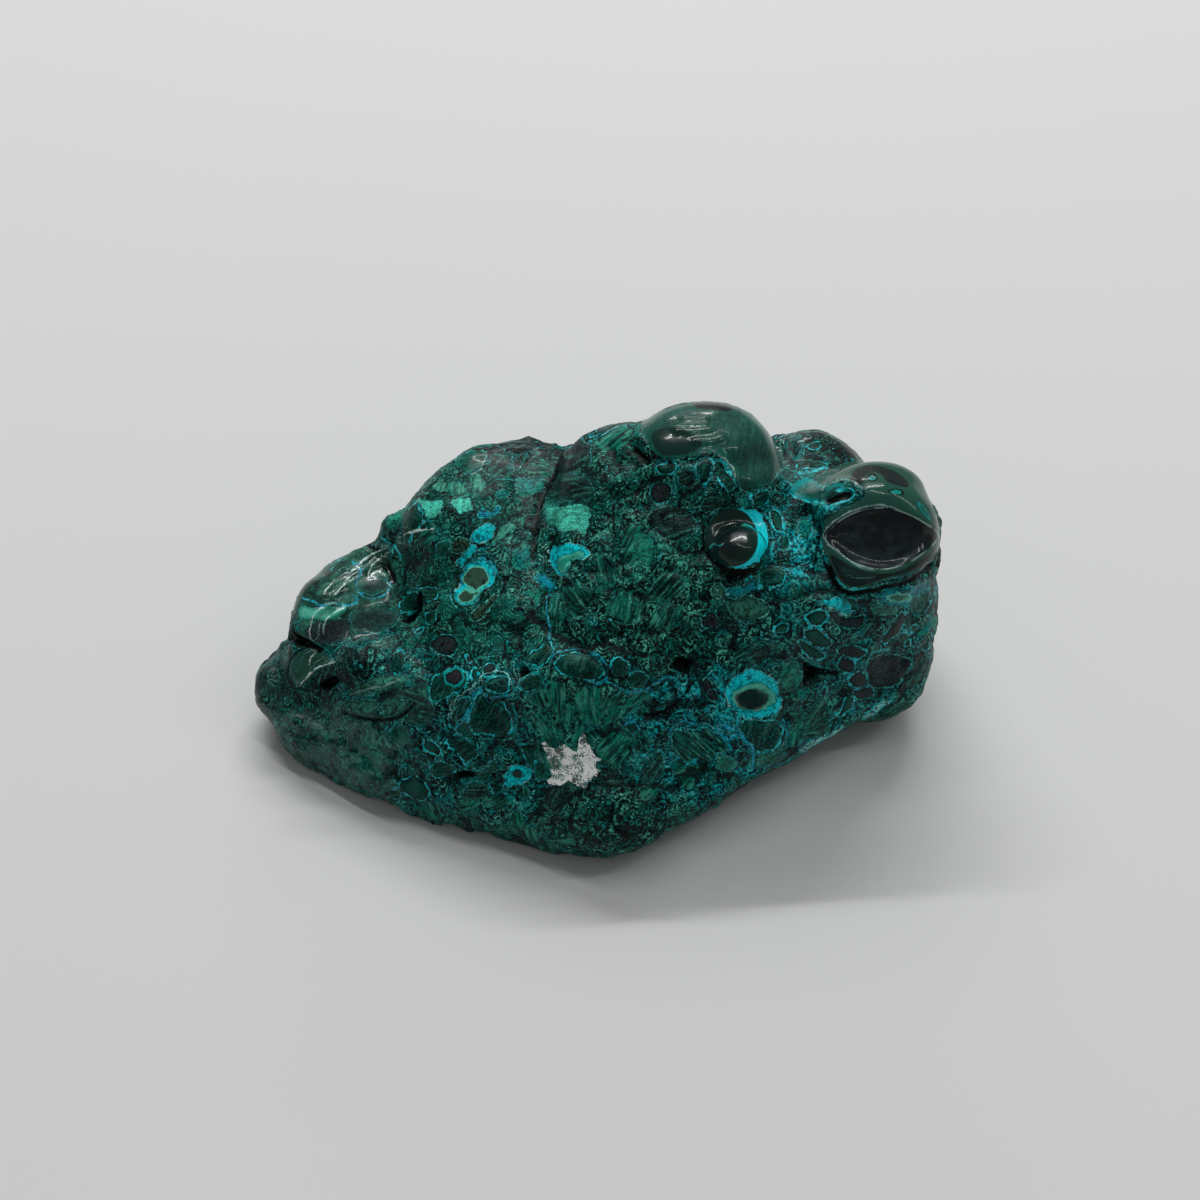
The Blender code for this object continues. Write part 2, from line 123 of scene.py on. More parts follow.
# Growths drawn by their outlines: kind, the way their fibres run in degrees, and the outline's corners in
# the camera's frame, in pixels across and down.
GROWTHS = {
    "crown": ("crown", 80, (641, 419, 656, 413, 680, 404, 713, 400, 740, 405, 763, 424, 777, 441, 784, 464,
        774, 480, 756, 491, 738, 486, 733, 474, 722, 458, 706, 452, 684, 457, 662, 456, 648, 445)),
    "eye_dome": ("glaze", 10, (827, 471, 845, 463, 868, 458, 896, 456, 924, 469, 948, 494, 952, 538, 937,
        552, 930, 564, 908, 575, 884, 580, 860, 589, 842, 585, 833, 572, 827, 556, 822, 540, 826, 520, 842,
        508, 862, 499, 866, 491, 856, 483, 840, 481, 828, 487, 816, 492, 804, 488, 812, 479)),
    "ball": ("crescent", 0, (708, 530, 715, 516, 728, 509, 745, 509, 757, 511, 764, 522, 768, 537, 766, 550,
        757, 561, 742, 567, 726, 566, 713, 557, 705, 545)),
    "ring_eye": ("sky", 0, (728, 684, 738, 675, 750, 669, 763, 673, 775, 683, 781, 695, 779, 710, 768, 717,
        752, 718, 740, 714, 731, 706, 726, 695)),
    "mint_slab": ("mint", 0, (547, 508, 562, 507, 578, 504, 590, 506, 590, 518, 586, 530, 582, 541, 579, 530,
        570, 530, 563, 534, 556, 527, 549, 523, 545, 515)),
    "cyan_hook": ("sky", 0, (549, 554, 555, 546, 566, 543, 578, 545, 588, 549, 589, 556, 576, 560, 566, 563,
        565, 570, 570, 577, 560, 575, 552, 567)),
    "blue_spot": ("blue", 0, (537, 578, 545, 574, 553, 580, 557, 588, 550, 596, 545, 588, 539, 584)),
    "leaf": ("moss", 70, (640, 540, 646, 532, 653, 540, 655, 555, 650, 567, 642, 563, 636, 551)),
    "leaf_shade": ("feather", 60, (624, 530, 638, 526, 640, 538, 634, 552, 640, 566, 630, 566, 622, 550)),
    "dark_round": ("dark", 20, (652, 512, 668, 505, 685, 508, 697, 520, 692, 535, 675, 540, 658, 535, 649,
        523)),
    "pebble": ("grey", 0, (700, 504, 710, 497, 722, 500, 722, 508, 711, 514, 700, 511)),
    "umber": ("brown", 0, (650, 490, 655, 483, 667, 482, 672, 495, 663, 503, 652, 500)),
    "kite": ("cell", 70, (699, 462, 710, 459, 712, 472, 706, 484, 698, 474)),
    "arch": ("cell", 50, (713, 462, 722, 461, 730, 472, 735, 486, 728, 492, 720, 482, 713, 474)),
    "shard_a": ("dark", 30, (676, 472, 688, 468, 700, 478, 704, 490, 694, 492, 682, 484)),
    "shard_b": ("cell", 10, (656, 466, 668, 462, 678, 466, 672, 474, 660, 475)),
    "grey_band": ("grey", 5, (550, 480, 572, 474, 590, 479, 593, 498, 574, 502, 549, 501, 544, 491)),
    "shoulder_dark": ("dark", 20, (556, 452, 575, 440, 592, 447, 590, 466, 572, 473, 552, 474)),
    "wedge": ("feather", 30, (598, 440, 622, 428, 632, 436, 622, 448, 604, 450)),
    "crown_blue": ("teal", 0, (638, 424, 650, 415, 663, 416, 664, 428, 652, 436, 640, 440, 634, 434)),
    "emerald": ("emerald", 80, (612, 600, 622, 590, 636, 596, 642, 612, 632, 624, 618, 622, 608, 612)),
    "fan_a": ("fan", 120, (566, 586, 580, 580, 592, 590, 590, 606, 578, 616, 566, 606)),
    "fan_b": ("fan", 100, (596, 560, 608, 552, 620, 562, 618, 582, 606, 590, 596, 578)),
    "fan_c": ("fan", 45, (652, 585, 668, 572, 684, 578, 680, 594, 664, 604, 652, 600)),
    "fan_d": ("fan", 60, (650, 612, 664, 606, 680, 604, 682, 616, 668, 628, 652, 630)),
    "fan_e": ("fan", 80, (552, 600, 562, 594, 566, 610, 562, 628, 554, 636, 550, 618)),
    "leaf_a": ("mint", 60, (418, 497, 428, 500, 437, 498, 444, 504, 440, 512, 433, 520, 427, 517, 424, 509,
        417, 504)),
    "leaf_b": ("mint", 80, (450, 499, 460, 497, 470, 498, 474, 504, 474, 512, 467, 511, 461, 514, 456, 509,
        451, 506)),
    "leaf_c": ("leaf", 80, (449, 482, 458, 481, 464, 487, 468, 495, 458, 496, 450, 494, 447, 488)),
    "leaf_d": ("leaf", 40, (433, 484, 442, 478, 447, 484, 446, 492, 438, 492, 431, 490)),
    "leaf_e": ("leaf", 80, (470, 478, 478, 472, 484, 478, 485, 487, 483, 495, 477, 493, 473, 486)),
    "round_top": ("green", 20, (457, 459, 468, 451, 480, 450, 487, 455, 484, 465, 477, 471, 466, 475, 459,
        468)),
    "slate": ("grey", 40, (485, 458, 496, 453, 507, 456, 510, 468, 504, 478, 494, 476, 487, 468)),
    "coal": ("dark", 60, (508, 455, 518, 457, 529, 452, 524, 464, 514, 472, 510, 464)),
    "top_dark": ("dark", 0, (500, 443, 526, 440, 540, 443, 528, 453, 506, 451)),
    "top_teal": ("teal", 0, (516, 480, 530, 478, 546, 484, 534, 494, 518, 496)),
    "chip": ("teal", 0, (495, 493, 504, 489, 512, 492, 507, 498, 498, 499)),
    "blue_blob": ("sky", 0, (477, 529, 487, 523, 497, 527, 494, 536, 487, 541, 478, 542, 471, 537)),
    "blue_chip": ("blue", 0, (477, 513, 482, 507, 490, 511, 499, 507, 497, 513, 488, 517, 480, 518)),
    "mint_long": ("leaf", 50, (503, 523, 511, 520, 516, 525, 512, 532, 503, 538, 494, 545, 489, 541, 495,
        531)),
    "blue_drop": ("sky", 0, (473, 544, 475, 550, 468, 559, 461, 567, 455, 561, 462, 555, 468, 550)),
    "khaki_bead": ("khaki", 0, (452, 543, 459, 536, 468, 540, 469, 549, 461, 555, 453, 552)),
    "teal_oval": ("teal", 0, (513, 553, 520, 546, 528, 543, 534, 550, 535, 559, 529, 566, 519, 570, 512,
        563)),
    "kidney": ("sky", 30, (460, 586, 461, 575, 467, 565, 478, 559, 490, 563, 496, 575, 491, 586, 482, 591,
        477, 599, 468, 605, 457, 601, 455, 594)),
    "khaki_long": ("khaki", 55, (487, 600, 494, 592, 500, 591, 497, 600, 490, 610, 482, 620, 472, 622, 470,
        614, 478, 606)),
    "mint_curl": ("moss", 60, (523, 592, 532, 587, 539, 590, 541, 598, 537, 607, 534, 600, 529, 596)),
    "toe_eye": ("glaze_grey", 0, (361, 585, 369, 577, 382, 577, 388, 584, 384, 592, 371, 595, 362, 591)),
    "toe_mint": ("glaze_mint", 10, (302, 606, 316, 608, 330, 608, 346, 607, 342, 615, 330, 620, 316, 620,
        301, 619, 298, 612)),
    "toe_umber": ("glaze_brown", 30, (306, 627, 320, 623, 345, 619, 350, 632, 336, 645, 318, 642, 306, 639)),
    "toe_slate": ("glaze_grey", 5, (352, 613, 375, 608, 396, 612, 395, 625, 375, 632, 355, 632)),
    "knob": ("glaze", 60, (291, 662, 298, 653, 311, 649, 324, 652, 330, 662, 318, 669, 308, 682, 298, 685,
        290, 674)),
    "long_top": ("moss_grey", 12, (344, 693, 360, 682, 385, 675, 405, 677, 411, 684, 390, 690, 366, 695, 350,
        698)),
    "long_low": ("moss_grey", 30, (343, 702, 360, 699, 375, 700, 378, 709, 371, 717, 355, 718, 345, 712)),
    "long_side": ("moss_grey", 50, (381, 703, 395, 696, 410, 704, 405, 716, 391, 718, 383, 712)),
    "strip_a": ("teal_dull", 15, (352, 645, 365, 634, 385, 630, 396, 634, 385, 640, 368, 646)),
    "strip_b": ("teal_dull", 15, (380, 648, 395, 641, 405, 640, 398, 650, 385, 654)),
    "strip_c": ("teal_dull", 10, (410, 652, 428, 650, 440, 655, 436, 662, 420, 660)),
    "burr": ("brown", 20, (432, 640, 445, 634, 458, 642, 452, 656, 438, 656, 430, 648)),
    "left_bead": ("cell", 60, (429, 690, 436, 676, 447, 667, 460, 668, 468, 678, 466, 688, 455, 695, 441,
        700, 431, 702)),
    "cell_a": ("cell", 70, (450, 718, 452, 708, 458, 700, 466, 695, 471, 700, 469, 710, 462, 720, 453, 728,
        449, 724)),
    "cell_b": ("cell", 60, (475, 700, 479, 692, 484, 695, 489, 702, 497, 699, 505, 706, 510, 714, 512, 725,
        508, 734, 498, 737, 485, 735, 473, 731, 470, 722, 473, 712)),
    "cell_top": ("cell", 10, (484, 685, 490, 679, 503, 676, 509, 682, 510, 690, 503, 694, 490, 692)),
    "cell_side": ("dark", 80, (514, 702, 518, 697, 523, 702, 525, 712, 521, 718, 516, 712)),
    "comma": ("cell", 50, (524, 658, 532, 653, 541, 648, 547, 641, 553, 648, 552, 657, 545, 664, 535, 666,
        527, 662)),
    "big_oval": ("cell", 70, (556, 661, 565, 655, 580, 653, 592, 656, 601, 665, 603, 672, 595, 679, 580, 680,
        566, 676, 556, 669)),
    "oval_b": ("cell", 70, (611, 661, 618, 656, 626, 660, 630, 668, 624, 676, 616, 675, 610, 668)),
    "oval_c": ("cell", 40, (629, 676, 636, 671, 648, 676, 646, 688, 638, 690, 630, 684)),
    "arc_cell": ("cell", 20, (520, 683, 530, 675, 540, 677, 543, 686, 532, 690, 523, 690)),
    "cell_c": ("cell", 30, (446, 742, 452, 735, 460, 736, 470, 741, 477, 745, 478, 757, 470, 762, 464, 767,
        461, 758, 452, 750)),
    "cell_d": ("dark", 70, (485, 751, 490, 744, 496, 745, 497, 755, 491, 759, 486, 757)),
    "cell_e": ("dark", 0, (476, 765, 480, 760, 485, 762, 485, 767, 480, 769)),
    "cell_f": ("cell", 10, (431, 766, 438, 760, 448, 762, 456, 769, 450, 776, 437, 778, 430, 773)),
    "cell_g": ("sky", 0, (504, 783, 506, 771, 513, 766, 524, 765, 531, 771, 529, 780, 518, 784, 510, 788)),
    "cell_h": ("grey", 0, (461, 796, 467, 785, 477, 781, 486, 786, 488, 795, 475, 799)),
    "cell_i": ("cell", 0, (490, 785, 497, 781, 503, 788, 497, 793, 491, 791)),
    "petal_a": ("feather", 92, (553, 684, 560, 681, 566, 684, 567, 700, 566, 714, 561, 724, 556, 712, 552,
        698)),
    "petal_b": ("feather", 80, (567, 710, 573, 706, 576, 720, 571, 736, 564, 724)),
    "petal_c": ("feather", 95, (577, 692, 588, 689, 597, 690, 600, 706, 600, 722, 594, 731, 586, 718, 577,
        706)),
    "petal_d": ("feather", 55, (601, 704, 612, 693, 621, 690, 620, 700, 611, 710, 602, 716)),
    "petal_e": ("feather", 60, (604, 724, 614, 709, 623, 705, 621, 716, 612, 727, 605, 735, 601, 731)),
    "petal_f": ("feather", 110, (528, 692, 540, 687, 549, 692, 550, 704, 542, 708, 533, 702)),
    "petal_g": ("feather", 120, (533, 716, 542, 712, 548, 722, 547, 734, 538, 732, 532, 724)),
    "petal_h": ("feather", 110, (550, 712, 556, 716, 558, 730, 554, 734, 549, 722)),
    "petal_i": ("feather", 45, (600, 742, 612, 730, 626, 736, 630, 750, 620, 766, 606, 762, 598, 752)),
    "petal_j": ("feather", 75, (574, 722, 580, 713, 584, 723, 578, 736, 573, 740)),
    "block": ("grey", 50, (640, 766, 651, 757, 660, 752, 665, 766, 661, 780, 649, 785, 638, 778)),
    "striped": ("striped", -45, (670, 745, 672, 734, 681, 727, 695, 728, 709, 728, 719, 736, 729, 746, 726,
        751, 714, 757, 704, 761, 689, 762, 675, 757)),
    "olive": ("olive", 0, (716, 765, 720, 757, 728, 755, 736, 760, 735, 768, 727, 772, 719, 771)),
    "night": ("cell", 70, (741, 726, 748, 720, 765, 720, 778, 722, 781, 735, 775, 748, 760, 752, 748, 745,
        742, 736)),
    "night_low": ("moss_grey", 30, (753, 754, 775, 750, 790, 745, 784, 756, 769, 766, 755, 769)),
    "mosaic_a": ("emerald", 30, (672, 764, 682, 760, 688, 766, 684, 774, 675, 774)),
    "mosaic_b": ("emerald", 60, (692, 762, 702, 758, 708, 765, 702, 773, 693, 770)),
    "mosaic_c": ("emerald", 40, (680, 779, 690, 774, 698, 779, 692, 787, 683, 787)),
    "mosaic_d": ("green", 50, (704, 777, 712, 772, 718, 778, 711, 785, 704, 783)),
    "low_moss": ("emerald", 40, (640, 790, 652, 783, 662, 788, 655, 798, 642, 800)),
    "eye_leaf": ("moss", 60, (780, 673, 790, 661, 799, 667, 800, 680, 790, 689, 782, 682)),
    "pale_chip": ("teal", 0, (796, 690, 804, 689, 808, 698, 800, 703)),
    "umber_b": ("brown", 70, (702, 681, 708, 677, 715, 690, 719, 701, 711, 700, 704, 691)),
    "pebble_b": ("pebble", 10, (727, 604, 738, 597, 754, 597, 770, 606, 766, 616, 749, 622, 735, 616)),
    "pebble_c": ("pebble", 0, (711, 591, 716, 583, 723, 586, 726, 594, 719, 599, 712, 597)),
    "teal_wedge": ("blue", 0, (726, 590, 740, 585, 750, 576, 757, 580, 758, 590, 748, 592, 740, 598, 730,
        595)),
    "umber_c": ("brown", 0, (701, 622, 705, 614, 712, 611, 718, 617, 719, 624, 709, 627)),
    "umber_d": ("dark", 0, (727, 624, 732, 620, 738, 625, 735, 633, 728, 631)),
    "bead_a": ("ring", 80, (770, 511, 777, 511, 783, 519, 783, 529, 777, 532, 771, 523)),
    "bead_b": ("ring", 0, (779, 538, 787, 536, 791, 543, 787, 549, 780, 548)),
    "bead_c": ("dark", 0, (776, 553, 785, 550, 790, 557, 785, 564, 778, 563)),
    "bead_d": ("teal", 0, (795, 522, 805, 518, 813, 523, 812, 533, 803, 538, 795, 532)),
    "soot": ("dark", 0, (768, 500, 775, 494, 786, 500, 784, 509, 775, 508)),
    "side_ring": ("ring", 0, (805, 617, 812, 611, 821, 610, 826, 616, 822, 623, 814, 625)),
    "side_b": ("ring", -30, (804, 631, 814, 628, 826, 635, 832, 645, 821, 648, 808, 641)),
    "side_c": ("ring", -40, (799, 643, 808, 640, 818, 648, 826, 656, 817, 660, 804, 653)),
    "side_blue": ("sky", 0, (821, 602, 830, 599, 839, 598, 849, 603, 853, 611, 846, 615, 838, 609, 828,
        606)),
    "side_umber": ("brown", 0, (829, 612, 837, 612, 845, 617, 858, 616, 865, 613, 863, 624, 855, 629, 844,
        627, 834, 621)),
    "side_sky": ("blue", 0, (877, 599, 884, 590, 900, 587, 916, 587, 929, 581, 926, 592, 912, 600, 908, 606,
        896, 607, 886, 605)),
    "side_green": ("moss_grey", 20, (912, 602, 920, 595, 931, 592, 930, 602, 922, 613, 912, 612)),
    "side_olive": ("olive", 0, (870, 609, 880, 607, 892, 607, 899, 611, 890, 615, 877, 614)),
    "side_oval": ("ring_brown", 0, (836, 651, 845, 646, 860, 647, 867, 652, 858, 658, 844, 657)),
    "small_ring": ("ring_brown", 0, (837, 665, 843, 657, 853, 659, 855, 669, 845, 673)),
    "small_ring_b": ("ring_brown", 0, (848, 678, 856, 670, 866, 674, 866, 685, 855, 688)),
    "small_ring_c": ("ring_brown", 0, (853, 693, 863, 686, 874, 690, 871, 698, 859, 700)),
    "brown_knob": ("brown", 0, (865, 669, 872, 658, 885, 655, 901, 656, 911, 662, 906, 675, 896, 684, 880,
        689, 869, 685, 864, 677)),
    "teal_run": ("teal_dull", 10, (806, 645, 826, 650, 832, 662, 822, 664, 808, 658)),
    "ledge_ice": ("ice", 30, (800, 750, 815, 738, 832, 729, 846, 722, 838, 733, 820, 743, 806, 752)),
    "ledge_ice_b": ("ice", 30, (862, 716, 872, 707, 886, 700, 895, 700, 884, 708, 870, 717)),
    "back_teal": ("teal_dull", 0, (785, 440, 800, 436, 806, 448, 798, 460, 788, 456)),
}

# What lies over the growths, in the same form: rims, inner rings and bright patches.
INLAYS = {
    "ball_skin": ("ball", 30, (706, 531, 714, 517, 728, 509, 742, 511, 751, 519, 757, 532, 757, 547, 750,
        559, 738, 566, 722, 565, 710, 557, 704, 543)),
    "eye_mint": ("mint_teal", 0, (735, 692, 745, 685, 760, 683, 770, 690, 776, 700, 768, 708, 752, 711, 738,
        707, 732, 699)),
    "hook_mint": ("mint_teal", 0, (558, 561, 566, 554, 578, 552, 586, 556, 575, 561, 568, 566, 566, 574, 560,
        570)),
    "kidney_core": ("khaki", 0, (463, 577, 467, 571, 475, 567, 483, 569, 489, 577, 487, 584, 478, 588, 470,
        587, 464, 583)),
    "kidney_foot": ("khaki", 0, (460, 597, 465, 590, 472, 593, 479, 590, 476, 597, 469, 601, 462, 601)),
    "crown_oval": ("glaze_dark", 20, (651, 437, 659, 429, 676, 427, 690, 434, 702, 443, 694, 451, 677, 455,
        660, 453)),
    "crown_cap": ("glaze_black", 5, (693, 404, 713, 401, 732, 407, 727, 411, 711, 409, 699, 408)),
    "upper_lid": ("lid", 0, (823, 537, 831, 524, 844, 515, 860, 508, 878, 505, 892, 507, 905, 513, 924, 522,
        938, 537, 920, 548, 880, 555, 840, 548)),
    "lower_lid": ("lid_low", 0, (830, 554, 842, 561, 860, 570, 885, 574, 907, 568, 925, 557, 936, 547, 931,
        560, 908, 572, 884, 578, 860, 586, 846, 584, 837, 572)),
    "cap_crescent": ("glaze_black", 0, (852, 485, 852, 475, 858, 468, 869, 465, 883, 467, 896, 472, 907, 481,
        908, 487, 897, 485, 887, 481, 881, 474, 871, 471, 864, 477, 862, 485)),
    "small_eye": ("teal", 0, (866, 477, 872, 473, 878, 477, 872, 481)),
    "eye_streak": ("teal", 0, (889, 491, 897, 490, 903, 493, 895, 494)),
    "eye_patch": ("teal_glaze", 0, (917, 502, 921, 503, 928, 512, 931, 521, 927, 518, 920, 509)),
    "tongue": ("pool", 0, (790, 492, 798, 483, 812, 480, 822, 486, 832, 484, 842, 486, 850, 492, 846, 500,
        832, 506, 812, 503, 798, 500)),
    "cell_hub": ("dark", 0, (510, 774, 517, 770, 523, 774, 518, 779)),
    "bead_hub": ("brown", 0, (446, 674, 456, 668, 465, 678, 457, 688, 447, 684)),
    "sky_hub": ("olive", 0, (887, 597, 896, 593, 905, 593, 910, 597, 903, 601, 894, 601)),
}

# What is sunk into the inlays, the holes (painted black as shade) and the outline of the painted glare, in
# the same form.
PUPILS = {
    "almond": ("almond", 0, (825, 537, 832, 528, 843, 519, 860, 511, 882, 508, 902, 512, 923, 522, 939, 535,
        927, 550, 907, 563, 883, 569, 858, 564, 841, 554, 830, 545)),
    "eye_dark": ("cell", 20, (736, 698, 742, 692, 752, 689, 762, 693, 769, 699, 765, 705, 752, 709, 741,
        706)),
    "small_pupil": ("dark", 0, (869, 477, 872, 475, 875, 477, 872, 479)),
    "slit": ("dark", 0, (828, 500, 838, 495, 846, 491, 851, 495, 846, 500, 836, 502)),
}
# The holes are sunk and painted black: painted shade in pits and gaps, under the ball and under the knob.
HOLES = {
    "pit": ("hole", 0, (671, 665, 679, 657, 691, 659, 687, 668, 684, 676, 677, 672)),
    "corner_hole": ("hole", 0, (420, 593, 421, 599, 418, 611, 414, 620, 408, 623, 402, 619, 409, 616, 414,
        606)),
    "under_ball": ("hole", 0, (724, 575, 733, 572, 748, 570, 748, 576, 737, 581, 727, 582)),
    "under_knob": ("hole", 0, (319, 686, 324, 680, 333, 677, 339, 682, 332, 688, 323, 690)),
    "side_gap": ("hole", 0, (804, 665, 815, 667, 828, 671, 822, 676, 814, 682, 807, 690, 803, 680)),
    "notch_gap": ("hole", 0, (294, 632, 300, 636, 302, 645, 297, 648, 290, 642)),
    "crown_gap": ("hole", 0, (634, 446, 642, 452, 650, 462, 646, 466, 638, 458, 631, 450)),
    "row_gap": ("hole", 0, (522, 664, 528, 668, 532, 672, 524, 676, 518, 680, 519, 670)),
    "cell_gap": ("hole", 0, (456, 774, 466, 771, 476, 775, 468, 779, 458, 779)),
}
# The painted glare: a jagged pale patch painted where a light's reflection falls on the polished front.
GLARE_OUTLINE = (539, 743, 547, 741, 551, 747, 556, 748, 561, 743, 567, 745, 572, 751, 577, 752, 579, 740, 580, 733,
    584, 731, 588, 741, 591, 750, 597, 757, 604, 760, 597, 762, 597, 768, 601, 771, 597, 777, 592, 775, 592,
    780, 587, 786, 581, 790, 576, 784, 568, 781, 561, 786, 549, 785, 547, 780, 552, 774, 550, 767, 548, 759,
    545, 750)

# Thin veins, and pale lines that are painted highlights: kind, half width in pixels and the line's corners
# in the camera's frame.
THREADS = {
    "under_ball_a": ("olive", 0.9, (714, 577, 726, 579, 740, 584, 750, 580, 762, 578)),
    "pebble_line": ("olive", 0.9, (712, 586, 720, 596, 726, 606, 734, 618, 748, 624, 762, 620)),
    "ball_squiggle": ("teal", 0.8, (709, 549, 714, 544, 720, 546, 724, 543)),
    "shoulder_vein": ("blue", 1.2, (547, 596, 547, 612, 550, 630, 549, 640)),
    "toe_vein": ("blue", 1.1, (303, 598, 314, 602, 322, 606, 335, 603, 348, 606, 358, 602)),
    "toe_vein_b": ("blue", 1.0, (352, 562, 361, 571, 357, 582, 359, 592, 368, 598, 380, 597, 388, 591, 390,
        580)),
    "toe_vein_c": ("sky", 1.1, (382, 538, 390, 543, 398, 550, 402, 562)),
    "toe_vein_d": ("teal", 1.1, (331, 570, 338, 560, 347, 558)),
    "knob_rim": ("teal", 1.2, (286, 668, 289, 658, 298, 650, 312, 645, 325, 649, 333, 660)),
    "kidney_arc": ("blue", 1.5, (461, 584, 463, 570, 472, 561, 484, 559, 493, 565, 497, 574)),
    "kidney_tail": ("teal", 1.0, (452, 588, 452, 600, 457, 609)),
    "mint_line": ("teal", 0.9, (478, 550, 488, 548, 496, 541)),
    "row_vein": ("blue", 1.5, (551, 663, 556, 655, 568, 650, 585, 650, 598, 656, 607, 666, 606, 678, 596,
        684)),
    "row_vein_b": ("blue", 1.8, (596, 684, 608, 682, 618, 686, 628, 692, 640, 692, 652, 686, 668, 676)),
    "comma_rim": ("teal", 1.0, (521, 659, 527, 666, 538, 669, 549, 666, 552, 659)),
    "arc_rim": ("teal", 1.2, (517, 690, 519, 681, 528, 674, 540, 674)),
    "cell_vein": ("blue", 1.4, (444, 738, 456, 728, 466, 716, 473, 704, 474, 694, 480, 688, 488, 697, 510,
        696)),
    "cell_vein_b": ("teal", 1.2, (480, 738, 495, 740, 512, 738, 516, 726, 517, 716, 512, 706)),
    "cell_vein_c": ("teal", 1.0, (451, 757, 458, 764, 468, 771, 480, 771, 488, 763, 498, 758)),
    # top_rim and left_rim are painted highlights on the top and left edges of the beads.
    "top_rim": ("ice", 0.7, (473, 684, 482, 676, 496, 671, 506, 673, 511, 684)),
    "left_rim": ("ice", 0.6, (449, 720, 451, 706, 458, 697, 470, 688, 484, 679)),
    "pit_vein": ("teal", 1.5, (700, 660, 692, 668, 690, 684, 692, 700, 699, 714)),
    "striped_rim": ("blue", 1.5, (667, 734, 674, 724, 684, 721, 695, 724, 706, 723, 716, 730, 726, 741, 731,
        750)),
    "night_rim": ("blue", 1.4, (736, 718, 739, 730, 744, 740, 752, 748, 752, 766)),
    "night_patch": ("blue", 2.4, (718, 723, 727, 727, 733, 736)),
    "block_rim": ("teal", 1.2, (634, 748, 638, 760, 648, 757, 660, 750, 664, 760, 664, 776)),
    "bead_rim": ("blue", 1.2, (620, 733, 625, 724, 634, 722, 640, 730)),
    "ledge_vein": ("teal", 1.2, (783, 735, 786, 745, 785, 756)),
    "dome_vein": ("sky", 1.5, (798, 474, 810, 473, 820, 469, 826, 467)),
    "dome_vein_b": ("sky", 1.7, (792, 496, 802, 500, 812, 503, 822, 503)),
    "dome_vein_c": ("teal", 1.1, (775, 478, 781, 470, 789, 465)),
    "pit_rim": ("sky", 0.8, (826, 508, 840, 503, 851, 499, 855, 493, 849, 488, 836, 491)),
    "eye_vein": ("sky", 1.5, (822, 514, 815, 524, 812, 536, 808, 545)),
    "lip_vein": ("sky", 1.2, (831, 573, 839, 583, 850, 589, 866, 588)),
    "lip_vein_b": ("teal_glaze", 0.9, (866, 588, 884, 583, 905, 580, 922, 572, 932, 564)),
    # lid_low_line to silver_line are painted highlights along the lids, the step, the fold and the crown's
    # ridge.
    "lid_low_line": ("rim", 0.9, (827, 545, 836, 549, 845, 556, 858, 566, 874, 570)),
    "step_line": ("rim", 0.7, (567, 446, 557, 470, 545, 496, 538, 520, 535, 545)),
    "lid_line": ("rim", 0.9, (823, 533, 830, 525, 842, 516, 858, 509, 876, 505, 892, 507)),
    "fold_line": ("rim", 1.1, (822, 491, 832, 484, 844, 481, 856, 484, 863, 491)),
    "silver_line": ("rim", 1.0, (718, 456, 726, 462, 733, 472, 734, 477)),
    "side_vein": ("teal", 1.2, (866, 596, 858, 600, 850, 598)),
    "side_vein_b": ("teal", 1.4, (868, 654, 880, 650, 895, 648, 905, 650)),
    "side_vein_c": ("teal", 1.2, (800, 655, 812, 664, 830, 668)),
    # From streak_a to shoulder_line every line is a painted highlight along a ridge or an edge.
    "streak_a": ("worn", 0.75, (324, 596, 331, 587, 340, 578, 353, 573, 367, 560, 388, 549)),
    "streak_b": ("worn", 0.6, (335, 597, 341, 590, 349, 584, 358, 576)),
    "streak_c": ("worn", 0.7, (310, 640, 312, 626, 317, 613, 327, 608)),
    "streak_d": ("worn", 0.7, (324, 634, 325, 623, 333, 614, 346, 608)),
    "streak_e": ("worn", 0.6, (368, 577, 372, 567, 389, 556)),
    "streak_f": ("worn", 0.7, (398, 538, 410, 533, 424, 530, 434, 529)),
    "knob_spot": ("worn", 0.6, (309, 665, 311, 658, 316, 651)),
    "long_line": ("rim", 0.9, (350, 695, 364, 690, 384, 686, 401, 680)),
    "knob_line": ("worn", 0.75, (301, 685, 308, 677, 316, 669, 327, 665, 338, 663)),
    "left_line": ("rim", 0.5, (452, 722, 453, 708, 459, 699, 470, 690)),
    "shoulder_line": ("rim", 1.0, (487, 452, 484, 462, 480, 470, 470, 475)),
    "band_line": ("teal", 0.9, (496, 480, 512, 480, 530, 481, 547, 480)),
}

